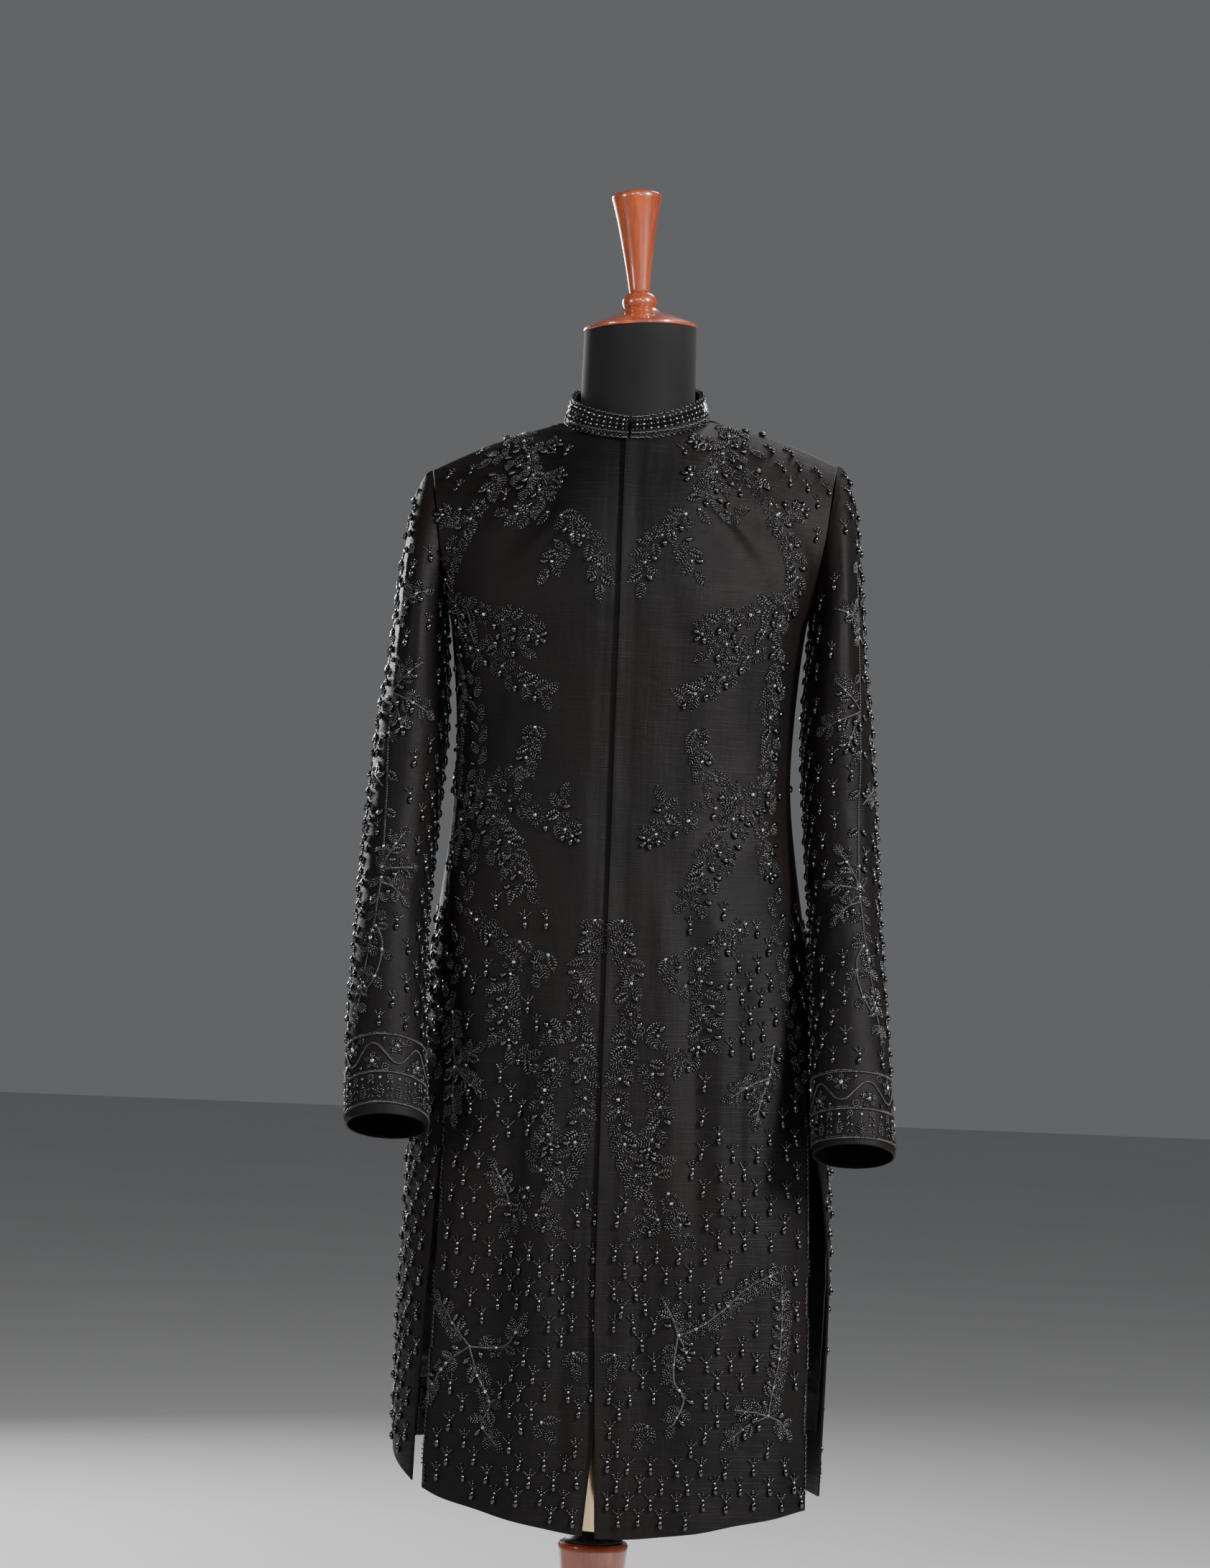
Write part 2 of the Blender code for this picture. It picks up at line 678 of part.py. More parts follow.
def form_quarter_points(side, is_front, up):
    quarter = Quarter(side, is_front)
    points = []
    for across in FORM_ACROSS:
        if up <= 1.0:
            height = FORM_BOTTOM + (UNDERARM - FORM_BOTTOM) * up
            azimuth = quarter.low_azimuth(across)

            def surface(a, b):
                low_height = FORM_BOTTOM + (UNDERARM - FORM_BOTTOM) * b
                return body_point(quarter.low_azimuth(a), low_height)

            point = body_point(azimuth, height)
            height_share = up
        else:
            surface = quarter.point
            height_share = up - 1.0
            point = quarter.point(across, height_share)
        normal = grid_normals(surface, [across], [height_share], outward_from_axis)[0][0]
        point = point - normal * form_ease(point[2], across, 2.0 - up)
        if up == 0.0:
            point[2] = FORM_BOTTOM
        points.append(point)
    return points


def form_body(finish):
    rows = []
    ups = np.concatenate([shares(FORM_LOW_ROWS), 1.0 + shares(FORM_HIGH_ROWS + 1)[1:]])
    for up in ups:
        ring = []
        for side in (1, -1):
            front = form_quarter_points(side, True, up)
            back = form_quarter_points(side, False, up)
            if up == ups[-1]:
                for index, across in enumerate(FORM_ACROSS):
                    if across >= NECK_SHARE:
                        front[index] = back[index] = (front[index] + back[index]) / 2
            plate = []
            for step in range(1, PLATE_POINTS + 1):
                share = step / (PLATE_POINTS + 1)
                plate.append(front[-1] * (1 - share) + back[-1] * share)
            half = front + plate + back[::-1]
            ring += half[:-1] if side > 0 else half[::-1][:-1]
        rows.append([leaned(point) for point in ring])
    return rows


def build_form(finish):
    rows = form_body(finish)
    count = len(rows[0])
    points = [point for row in rows for point in row]
    faces = []
    for row in range(len(rows) - 1):
        for column in range(count):
            following = (column + 1) % count
            a, b = row * count + column, row * count + following
            faces.append([a, b, b + count, a + count])
    faces.append(list(range(count))[::-1])

    # The neck stands on those points of the top row that lie on the neckline
    top = (len(rows) - 1) * count
    loop = []
    for column in range(count):
        point = points[top + column]
        if abs(point[0]) < NECK_HALF_WIDTH + 0.0005:
            loop.append(top + column)
    merged = []
    for index in loop:
        if not any(np.linalg.norm(points[index] - points[kept]) < 1e-6 for kept in merged):
            merged.append(index)
    merged.sort(key=lambda index: math.atan2(points[index][0], -(points[index][1] - NECK_CENTRE_Y)))
    previous = merged
    for share, radius_share in NECK_RINGS:
        ring = []
        for index in merged:
            base = points[index]
            turn = math.atan2(base[0], -(base[1] - NECK_CENTRE_Y))
            radius = NECK_RADIUS_LOW + (NECK_RADIUS_TOP - NECK_RADIUS_LOW) * share
            lift = radius * math.sin(turn) * math.tan(math.radians(CAP_TILT)) * share
            centre = FORM_NECK_CENTRE_Y - NECK_LEAN_FORWARD * max(0.0, share - 0.3) / 0.7
            upper = np.array([
                radius * math.sin(turn),
                centre - radius * math.cos(turn),
                base[2] + (NECK_TOP + lift - base[2]) * share,
            ])
            across = base * (1 - radius_share) + upper * radius_share
            across[2] = upper[2]
            points.append(across)
            ring.append(len(points) - 1)
        for step in range(len(merged)):
            following = (step + 1) % len(merged)
            faces.append([previous[step], previous[following], ring[following], ring[step]])
        previous = ring
    faces.append(previous)
    return mesh_object("form_body", points, faces, finish, merge=1e-5)


# Turned pieces

def turned(name, profile, finish, steps=TURN_STEPS, sharp=40.0):
    # Spins a profile of (radius, height) points round the vertical axis
    work = bmesh.new()
    line = [work.verts.new((radius, 0.0, height)) for radius, height in profile]
    edges = [work.edges.new(pair) for pair in zip(line, line[1:])]
    bmesh.ops.spin(
        work, geom=line + edges, cent=(0, 0, 0), axis=(0, 0, 1),
        angle=2 * math.pi, steps=steps, use_merge=True, use_duplicate=False,
    )
    bmesh.ops.remove_doubles(work, verts=work.verts, dist=1e-6)
    bmesh.ops.recalc_face_normals(work, faces=work.faces)
    mesh = bpy.data.meshes.new(name)
    work.to_mesh(mesh)
    work.free()
    if finish is not None:
        mesh.materials.append(finish)
    mesh.shade_smooth()
    mesh.set_sharp_from_angle(angle=math.radians(sharp))
    made = bpy.data.objects.new(name, mesh)
    bpy.context.scene.collection.objects.link(made)
    return made


def arc(centre, radius, start, end, steps):
    # Points of a round stretch of a turned profile
    angles = np.radians(np.linspace(start, end, steps))
    return [(centre[0] + radius * math.cos(a), centre[1] + radius * math.sin(a)) for a in angles]


CAP_FOOT_Z = NECK_TOP + 0.0004
CAP_PROFILE = (
    [(0.0, 0.0), (CAP_RADIUS - 0.0010, 0.0), (CAP_RADIUS, 0.0010), (CAP_RADIUS, 0.0028)]
    + [(0.0545, 0.0052), (0.0460, 0.0092), (0.0360, 0.0128), (0.0262, 0.0160), (0.0200, 0.0192), (0.0178, 0.0220)]
    + arc((0.0080, 0.0290), 0.0100, -38.0, 62.0, 7)
    + [(0.0104, 0.0386), (0.0, 0.0386)]
)
HANDLE_PROFILE = (
    [(0.0, 0.0), (0.0100, 0.0), (0.0106, 0.0016), (0.0108, 0.0060), (0.0136, 0.0280)]
    + [(0.0170, 0.0520), (0.0206, 0.0740), (0.0238, 0.0900), (0.0252, 0.0950), (0.0256, 0.0975)]
    + [(0.0250, 0.0998), (0.0225, 0.1018), (0.0160, 0.1036), (0.0080, 0.1044), (0.0, 0.1046)]
)


def cap_and_handle(wood):
    cap = turned("neck_cap", CAP_PROFILE, wood)
    handle = turned("cap_handle", HANDLE_PROFILE, wood)
    tilt = -math.radians(CAP_TILT)
    foot = Vector((0.0, FORM_NECK_CENTRE_Y - NECK_LEAN_FORWARD, CAP_FOOT_Z))
    axis_up = Vector((math.sin(tilt), 0.0, math.cos(tilt)))
    for piece, offset in ((cap, 0.0), (handle, 0.0389)):
        piece.rotation_euler = (0.0, tilt, 0.0)
        piece.location = foot + axis_up * offset
    return cap, handle


HUB_PROFILE = (
    [(0.0, 0.064), (0.0120, 0.066), (0.0190, 0.074), (0.0200, 0.082), (0.0250, 0.088), (0.0290, 0.094)]
    + [(0.0290, 0.170), (0.0262, 0.176)]
    + arc((0.0205, 0.1840), 0.0085, -70.0, 70.0, 6)
    + [(0.0215, 0.196), (0.0235, 0.215), (0.0272, 0.255), (0.0312, 0.295), (0.0345, 0.326)]
    + [(HUB_TOP_RADIUS - 0.0004, 0.3372), (HUB_TOP_RADIUS - 0.0022, HUB_TOP)]
    + [(POLE_RADIUS + 0.0003, HUB_TOP), (POLE_RADIUS + 0.0003, 0.2500), (0.0, 0.2500)]
)


def pole(brass):
    length = FORM_BOTTOM - 0.0003 - 0.2503
    profile = [(0.0, 0.0), (POLE_RADIUS - 0.0008, 0.0), (POLE_RADIUS, 0.0008)]
    profile += [(POLE_RADIUS, length), (0.0, length)]
    made = turned("pole", profile, brass)
    made.location = (0.0, 0.0, 0.2503)
    return made


def pole_ring(rubber):
    inside = POLE_RADIUS + 0.0003
    profile = [(inside, 0.0), (RING_RADIUS, 0.0), (RING_RADIUS, 0.0020), (RING_RADIUS - 0.0060, 0.0070)]
    profile += [(inside + 0.0030, RING_HEIGHT), (inside, RING_HEIGHT), (inside, 0.0)]
    made = turned("pole_ring", profile, rubber)
    made.location = (0.0, 0.0, HUB_TOP + 0.0003)
    return made


# The legs sweep out of the hub in an S and end in a pad on the floor

LEG_LINE_COLUMNS = ("reach", "height", "half_height")
LEG_LINE = (
    (0.0220, 0.1320, 0.0290),
    (0.0500, 0.1350, 0.0250),
    (0.0850, 0.1290, 0.0200),
    (0.1250, 0.1060, 0.0170),
    (0.1700, 0.0740, 0.0155),
    (0.2100, 0.0460, 0.0145),
    (0.2380, 0.0270, 0.0135),
    (0.2560, 0.0140, 0.0140),
    (0.2800, 0.0110, 0.0110),
)
LEG_SEAT_RADIUS = 0.0294


def leg_seat():
    # Cuts the inner end of each leg to the hub's round side
    profile = [(0.0, 0.06), (LEG_SEAT_RADIUS, 0.06), (LEG_SEAT_RADIUS, 0.20), (0.0, 0.20)]
    cutter = turned("leg_seat", profile, None)
    cutter.hide_render = True
    cutter.display_type = "WIRE"
    return cutter


def leg(index, wood, seat):
    # A flat-sided sweep: its outline is cut from a board, its long edges are rounded
    turn = math.radians(-90.0 + 60.0 + 360.0 / LEG_COUNT * index)
    work = bmesh.new()
    upper, lower = [], []
    for reach, height, half in LEG_LINE:
        upper.append((reach, height + half))
        lower.append((reach, max(0.0, height - half)))
    outline = upper + lower[::-1]
    half_thick = LEG_THICKNESS / 2
    near = [work.verts.new((x, -half_thick, z)) for x, z in outline]
    far = [work.verts.new((x, half_thick, z)) for x, z in outline]
    count = len(outline)
    for step in range(count):
        following = (step + 1) % count
        work.faces.new((near[step], near[following], far[following], far[step]))
    columns = len(upper)
    for side_verts, flip in ((near, True), (far, False)):
        for step in range(columns - 1):
            quad = [side_verts[step], side_verts[step + 1], side_verts[count - 2 - step], side_verts[count - 1 - step]]
            work.faces.new(quad if flip else quad[::-1])
    bmesh.ops.recalc_face_normals(work, faces=work.faces)
    long_edges = []
    for edge in work.edges:
        if len(edge.link_faces) == 2 and edge.calc_face_angle(0.0) > math.radians(60):
            on_floor = all(vert.co.z < 0.0005 for vert in edge.verts)
            at_hub = all(vert.co.x < LEG_LINE[0][0] + 0.0005 for vert in edge.verts)
            if not on_floor and not at_hub:
                long_edges.append(edge)
    bmesh.ops.bevel(work, geom=long_edges, offset=0.005, segments=2, profile=0.5, affect="EDGES")
    bmesh.ops.rotate(work, verts=work.verts, cent=(0, 0, 0), matrix=Matrix.Rotation(turn, 3, "Z"))
    mesh = bpy.data.meshes.new(f"leg_{index + 1}")
    work.to_mesh(mesh)
    work.free()
    mesh.materials.append(wood)
    mesh.shade_smooth()
    mesh.set_sharp_from_angle(angle=math.radians(40))
    made = bpy.data.objects.new(f"leg_{index + 1}", mesh)
    bpy.context.scene.collection.objects.link(made)
    cut = made.modifiers.new("hub_seat", "BOOLEAN")
    cut.operation = "DIFFERENCE"
    cut.solver = "EXACT"
    cut.object = seat
    return made


def hub_radius_at(height):
    rising = [(z, r) for r, z in HUB_PROFILE if 0.196 <= z <= 0.3372]
    rising.sort()
    return float(np.interp(height, [z for z, _ in rising], [r for _, r in rising]))


def hub_screw(brass):
    # A pan head with a cross slot, seated on the hub's sloping side
    head = [(0.0, 0.0), (SCREW_RADIUS, 0.0), (SCREW_RADIUS, 0.0012), (SCREW_RADIUS * 0.82, 0.0026)]
    head += [(SCREW_RADIUS * 0.45, 0.0034), (0.0, 0.0036)]
    made = turned("hub_screw", head, brass, steps=24)
    for index, angle in enumerate((0.0, 90.0)):
        slot = bpy.data.meshes.new(f"slot_{index}")
        work = bmesh.new()
        bmesh.ops.create_cube(work, size=1.0)
        bmesh.ops.scale(work, verts=work.verts, vec=(SCREW_RADIUS * 1.1, 0.0013, 0.0040))
        bmesh.ops.rotate(work, verts=work.verts, cent=(0, 0, 0), matrix=Matrix.Rotation(math.radians(angle), 3, "Z"))
        bmesh.ops.translate(work, verts=work.verts, vec=(0.0, 0.0, 0.0038))
        work.to_mesh(slot)
        work.free()
        cutter = bpy.data.objects.new(f"slot_{index}", slot)
        bpy.context.scene.collection.objects.link(cutter)
        cutter.hide_render = True
        cutter.display_type = "WIRE"
        cutter.parent = made
        cut = made.modifiers.new(f"slot_{index}", "BOOLEAN")
        cut.operation = "DIFFERENCE"
        cut.solver = "EXACT"
        cut.object = cutter
    slope = math.atan2(hub_radius_at(0.326) - hub_radius_at(0.295), 0.326 - 0.295)
    turn = math.radians(SCREW_AZIMUTH)
    radius = hub_radius_at(SCREW_HEIGHT) + 0.0004
    facing = Vector((math.sin(turn) * math.cos(slope), -math.cos(turn) * math.cos(slope), -math.sin(slope)))
    made.rotation_mode = "QUATERNION"
    made.rotation_quaternion = facing.to_track_quat("Z", "Y")
    made.location = (radius * math.sin(turn), -radius * math.cos(turn), SCREW_HEIGHT)
    return made


def centre_on_floor():
    # Puts the middle of the whole part's footprint over the origin
    bpy.context.view_layer.update()
    solids = [item for item in bpy.data.objects if item.type == "MESH" and not item.hide_render]
    corners = [item.matrix_world @ Vector(corner) for item in solids for corner in item.bound_box]
    middle = [(min(c[k] for c in corners) + max(c[k] for c in corners)) / 2 for k in (0, 1)]
    for item in bpy.data.objects:
        if item.parent is None:
            item.location -= Vector((middle[0], middle[1], 0.0))


def main():
    clear_scene()
    cloth = material("coat_silk", FABRIC_BLACK, 0.72)
    satin = material("lining_satin", SATIN_BLACK, 0.30)
    jersey = material("form_jersey", JERSEY_BLACK, 0.85)
    wood = material("lacquered_wood", WOOD_RED, 0.16)
    brass = material("polished_brass", BRASS, 0.16, 1.0)
    rubber = material("black_rubber", RUBBER_BLACK, 0.6)
    coat_panel("front_left", 1, True, FRONT_COLUMNS, cloth)
    coat_panel("front_right", -1, True, FRONT_COLUMNS, cloth)
    coat_panel("back_left", 1, False, BACK_COLUMNS, cloth)
    coat_panel("back_right", -1, False, BACK_COLUMNS, cloth)
    for side, word in ((1, "left"), (-1, "right")):
        front_seam, back_seam = SLEEVE_FRONT_SEAM / 360.0, SLEEVE_BACK_SEAM / 360.0
        sleeve_half(f"sleeve_top_{word}", side, back_seam - 1.0, front_seam, 15, cloth)
        sleeve_half(f"sleeve_under_{word}", side, front_seam, back_seam, 8, cloth)
    collar(cloth)
    back_lining("lining_left", 1, satin)
    back_lining("lining_right", -1, satin)
    build_form(jersey)
    cap_and_handle(wood)
    turned("hub", HUB_PROFILE, wood)
    pole(brass)
    pole_ring(rubber)
    hub_screw(brass)
    seat = leg_seat()
    for index in range(LEG_COUNT):
        leg(index, wood, seat)
    centre_on_floor()


main()
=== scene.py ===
import math
import random

import bpy
import numpy as np
from mathutils import Matrix, Vector
from mathutils.bvhtree import BVHTree
from mathutils.kdtree import KDTree


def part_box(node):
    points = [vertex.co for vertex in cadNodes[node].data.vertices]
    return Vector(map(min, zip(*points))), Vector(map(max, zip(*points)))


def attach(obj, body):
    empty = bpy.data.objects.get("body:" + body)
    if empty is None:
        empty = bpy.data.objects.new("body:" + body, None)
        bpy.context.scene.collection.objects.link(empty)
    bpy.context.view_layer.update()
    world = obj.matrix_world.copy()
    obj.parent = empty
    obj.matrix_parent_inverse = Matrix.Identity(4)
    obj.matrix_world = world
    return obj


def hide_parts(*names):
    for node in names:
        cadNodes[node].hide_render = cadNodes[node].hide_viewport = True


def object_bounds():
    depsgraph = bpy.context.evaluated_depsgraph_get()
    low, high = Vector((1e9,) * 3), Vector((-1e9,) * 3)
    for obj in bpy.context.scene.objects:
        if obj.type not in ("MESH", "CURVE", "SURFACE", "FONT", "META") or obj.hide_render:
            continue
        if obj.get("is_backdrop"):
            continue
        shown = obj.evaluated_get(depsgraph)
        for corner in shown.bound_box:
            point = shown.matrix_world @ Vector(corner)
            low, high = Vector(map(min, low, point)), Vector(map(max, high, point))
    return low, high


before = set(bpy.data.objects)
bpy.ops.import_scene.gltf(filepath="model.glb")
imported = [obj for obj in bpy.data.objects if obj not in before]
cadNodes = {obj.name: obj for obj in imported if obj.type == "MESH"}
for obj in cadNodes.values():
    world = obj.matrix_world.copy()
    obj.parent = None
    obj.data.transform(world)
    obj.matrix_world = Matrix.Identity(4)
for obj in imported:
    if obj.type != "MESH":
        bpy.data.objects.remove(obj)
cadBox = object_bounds()
luck = random.Random(38)
poleLow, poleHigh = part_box("pole")
poleX, poleY = (poleLow.x + poleHigh.x) / 2, (poleLow.y + poleHigh.y) / 2
poleFoot = np.array([poleX, poleY, 0])
bodyNodes = ["front_left", "front_right", "back_left", "back_right"]
sides = ((1, "left"), (-1, "right"))
print("frame loaded,", len(cadNodes), "nodes")


def jitter(most):
    return luck.uniform(-most, most)


# camera first: it stands where the photograph was taken from, a little rolled

cameraPlace = {
    "fromPole": (-0.018, -4.25, 0.93),
    "pitchUp": 2.32,
    "roll": 2.26,
    "lens": 96.4,
}


def placeCamera():
    place = cameraPlace
    bpy.ops.object.camera_add()
    camera = bpy.context.object
    camera.name = "photoCamera"
    camera.data.lens = place["lens"]
    camera.data.sensor_width = 36
    stand = Vector(place["fromPole"]) + Vector((poleX, poleY, 0))
    tilt = Matrix.Rotation(math.radians(90 + place["pitchUp"]), 4, "X")
    roll = Matrix.Rotation(math.radians(place["roll"]), 4, "Z")
    camera.matrix_world = Matrix.Translation(stand) @ tilt @ roll
    bpy.context.scene.camera = camera


# materials

def newMaterial(name, **settings):
    material = bpy.data.materials.new(name)
    material.use_nodes = True
    shader = material.node_tree.nodes["Principled BSDF"]
    for key, value in settings.items():
        shader.inputs[key.replace("_", " ")].default_value = value
    return material, material.node_tree, shader


def addNode(tree, kind, sockets=(), **fields):
    # sockets: pairs of an input and either a plain value or another node's output
    node = tree.nodes.new("ShaderNode" + kind)
    for key, value in fields.items():
        setattr(node, key, value)
    for socket, value in sockets:
        if isinstance(value, bpy.types.NodeSocket):
            tree.links.new(value, node.inputs[socket])
        else:
            node.inputs[socket].default_value = value
    return node


def mathNode(tree, operation, *values):
    return addNode(tree, "Math", enumerate(values), operation=operation).outputs[0]


def stretchedNoise(tree, vector, stretch, detail=2.0, roughness=0.5):
    scaled = addNode(tree, "Mapping", [("Vector", vector), ("Scale", stretch)])
    noise = addNode(tree, "TexNoise", [
        ("Vector", scaled.outputs[0]), ("Scale", 1.0), ("Detail", detail), ("Roughness", roughness),
    ])
    return noise.outputs["Fac"]


def between(tree, value, low, high, toLow=0.0, toHigh=1.0):
    node = addNode(tree, "MapRange", [
        ("Value", value), ("From Min", low), ("From Max", high), ("To Min", toLow), ("To Max", toHigh),
    ])
    return node.outputs[0]


def mixColours(tree, factor, *ends):
    first, second = (end if isinstance(end, bpy.types.NodeSocket) else (*end, 1) for end in ends)
    return addNode(tree, "Mix", [(0, factor), (6, first), (7, second)], data_type="RGBA").outputs[2]


def weighted(tree, *parts):
    # the sum of parts, each a value and its weight
    total = None
    for value, weight in parts:
        part = value if weight == 1 else mathNode(tree, "MULTIPLY", value, weight)
        total = part if total is None else mathNode(tree, "ADD", total, part)
    return total


def feed(tree, shader, **sources):
    for key, source in sources.items():
        tree.links.new(source, shader.inputs[key.replace("_", " ")])


def bumpOn(tree, shader, height, distance, strength=1.0):
    bump = addNode(tree, "Bump", [("Height", height), ("Distance", distance), ("Strength", strength)])
    feed(tree, shader, Normal=bump.outputs[0])


def ownPlace(tree):
    return addNode(tree, "TexCoord").outputs["Object"]


def makeGroup(name, inputs, outputs):
    group = bpy.data.node_groups.new(name, "ShaderNodeTree")
    for label, kind, value in inputs:
        socket = group.interface.new_socket(label, in_out="INPUT", socket_type="NodeSocket" + kind)
        if value is not None:
            socket.default_value = value
    for label in outputs:
        group.interface.new_socket(label, in_out="OUTPUT", socket_type="NodeSocketFloat")
    return group, group.nodes.new("NodeGroupInput"), group.nodes.new("NodeGroupOutput")


def slubWeaveGroup():
    # hand-loomed silk: fine plain weave, with thick weft threads that run on and stop
    tree, taken, given = makeGroup(
        "slubWeave",
        [("Cloth", "Vector", None), ("Thread", "Float", 0.0005), ("Slub", "Float", 1.0)],
        ("Shade", "Height", "Slubs", "Crush"),
    )
    cloth = taken.outputs["Cloth"]
    split = addNode(tree, "SeparateXYZ", [(0, cloth)])
    turns = mathNode(tree, "DIVIDE", math.pi, taken.outputs["Thread"])
    warp = mathNode(tree, "SINE", mathNode(tree, "MULTIPLY", split.outputs[0], turns))
    weft = mathNode(tree, "SINE", mathNode(tree, "MULTIPLY", split.outputs[1], turns))
    weave = between(tree, mathNode(tree, "MULTIPLY", warp, weft), -1.0, 1.0)
    slubs = between(tree, stretchedNoise(tree, cloth, (22, 620, 1), 3.0, 0.55), 0.52, 0.76)
    streaks = stretchedNoise(tree, cloth, (70, 1900, 1), 2.0)
    warpLines = stretchedNoise(tree, cloth, (1500, 60, 1), 2.0)
    clouds = stretchedNoise(tree, cloth, (9, 14, 1), 4.0)
    crinkles = between(tree, stretchedNoise(tree, cloth, (84, 15, 1), 3.0, 0.55), 0.30, 0.72)
    puckers = between(tree, stretchedNoise(tree, cloth, (30, 90, 1), 3.0, 0.5), 0.30, 0.72)
    crush = weighted(tree, (crinkles, 0.62), (puckers, 0.38))
    slubs = mathNode(tree, "MULTIPLY", slubs, taken.outputs["Slub"])
    lines = weighted(tree, (streaks, 0.24), (warpLines, 0.10))
    shade = weighted(tree, (slubs, 0.30), (lines, 1), (clouds, 0.46))
    height = weighted(tree, (weave, 0.22), (slubs, 0.55), (lines, 0.55))
    feed(tree, given, Shade=shade, Height=height, Slubs=slubs, Crush=crush)
    return tree


def placeWeave(tree, group, chart, thread, slub):
    values = [("Cloth", chart), ("Thread", thread), ("Slub", slub)]
    return addNode(tree, "Group", values, node_tree=group).outputs


silkLook = {
    "deep": (0.0005, 0.0004, 0.0005), "lit": (0.0048, 0.0036, 0.0034), "warm": (0.0056, 0.0028, 0.0022),
    "thread": 0.00042, "slub": 1.0, "crush": 1.5, "bump": 0.00045,
}


def rawSilk(weaveGroup):
    look = silkLook
    material, tree, shader = newMaterial(
        "rawSilk", Roughness=0.52, Specular_IOR_Level=0.13, Sheen_Weight=0.012, Sheen_Roughness=0.45,
        Sheen_Tint=(0.80, 0.74, 0.72, 1),
    )
    chart = addNode(tree, "UVMap", uv_map="cloth").outputs[0]
    weave = placeWeave(tree, weaveGroup, chart, look["thread"], look["slub"])
    colour = mixColours(tree, between(tree, weave["Shade"], 0.25, 0.80), look["deep"], look["lit"])
    warm = between(tree, stretchedNoise(tree, chart, (5, 4, 1), 2.0), 0.38, 0.66, 0.0, 0.62)
    rough = between(tree, weave["Slubs"], 0.0, 1.0, 0.54, 0.42)
    feed(tree, shader, Base_Color=mixColours(tree, warm, colour, look["warm"]), Roughness=rough)
    lay = weighted(tree, (weave["Height"], 1), (weave["Crush"], look["crush"]))
    bumpOn(tree, shader, lay, look["bump"], 0.8)
    return material


def satin(weaveGroup):
    material, tree, shader = newMaterial("liningSatin", Specular_IOR_Level=0.7, Anisotropic=0.5)
    chart = addNode(tree, "UVMap", uv_map="cloth").outputs[0]
    weave = placeWeave(tree, weaveGroup, chart, 0.0003, 0.1)
    colour = mixColours(tree, weave["Shade"], (0.004, 0.004, 0.005), (0.016, 0.016, 0.018))
    feed(tree, shader, Base_Color=colour, Roughness=between(tree, weave["Shade"], 0.2, 0.8, 0.20, 0.34))
    # it hangs loose and puckers
    puckers = stretchedNoise(tree, chart, (13, 34, 1), 2.0, 0.4)
    bumpOn(tree, shader, weighted(tree, (puckers, 1), (weave["Height"], 0.02)), 0.006, 0.8)
    return material


def jersey():
    # fine rib of knitted loops, in courses up the form
    material, tree, shader = newMaterial(
        "formJersey", Roughness=0.78, Specular_IOR_Level=0.15, Sheen_Weight=0.06, Sheen_Roughness=0.5,
    )
    place = ownPlace(tree)
    knit = [("Vector", place), ("Scale", 330.0), ("Distortion", 1.2), ("Detail", 1.0)]
    ribs = addNode(tree, "TexWave", knit, bands_direction="Z").outputs["Fac"]
    fuzz = stretchedNoise(tree, place, (900, 900, 1400), 3.0)
    wear = stretchedNoise(tree, place, (14, 14, 9), 4.0)
    worn = between(tree, wear, 0.3, 0.75)
    colour = mixColours(tree, worn, (0.0030, 0.0028, 0.0030), (0.0100, 0.0094, 0.0098))
    lint = mixColours(tree, between(tree, fuzz, 0.66, 0.9, 0.0, 0.5), colour, (0.024, 0.024, 0.025))
    feed(tree, shader, Base_Color=lint)
    bumpOn(tree, shader, weighted(tree, (ribs, 0.5), (fuzz, 1)), 0.0002, 0.5)
    return material


def lacqueredWood(name, grain):
    # red-brown stain over long grain, under a thick gloss coat; grain: how the piece's fibres run
    material, tree, shader = newMaterial(name, Coat_Weight=1.0, Coat_Roughness=0.03, Coat_IOR=1.55)
    place = ownPlace(tree)
    fibres, bands, pores = (
        stretchedNoise(tree, place, tuple(along if k == grain else across for k in "xyz"), detail, rough)
        for along, across, detail, rough in ((8, 210, 5.0, 0.6), (3, 34, 3.0, 0.5), (60, 1500, 2.0, 0.5))
    )
    stain = mixColours(tree, between(tree, bands, 0.3, 0.7), (0.205, 0.026, 0.006), (0.420, 0.080, 0.014))
    grainy = mixColours(tree, between(tree, fibres, 0.42, 0.72, 0.0, 0.75), stain, (0.085, 0.010, 0.004))
    pored = mixColours(tree, between(tree, pores, 0.62, 0.8, 0.0, 0.5), grainy, (0.04, 0.006, 0.003))
    feed(tree, shader, Base_Color=pored, Roughness=between(tree, fibres, 0.3, 0.8, 0.28, 0.42))
    bumpOn(tree, shader, fibres, 0.00015, 0.25)
    return material


def brass(name, roughness, tint):
    material, tree, shader = newMaterial(name, Metallic=1.0)
    place = ownPlace(tree)
    drawn = stretchedNoise(tree, place, (900, 900, 6), 3.0)
    tarnish = between(tree, stretchedNoise(tree, place, (30, 30, 22), 4.0), 0.45, 0.8, 0.0, 0.6)
    colour = mixColours(tree, tarnish, tint, (tint[0] * 0.62, tint[1] * 0.5, tint[2] * 0.38))
    rough = between(tree, drawn, 0.3, 0.7, roughness, roughness + 0.10)
    feed(tree, shader, Base_Color=colour, Roughness=rough)
    bumpOn(tree, shader, drawn, 0.00004, 0.4)
    return material


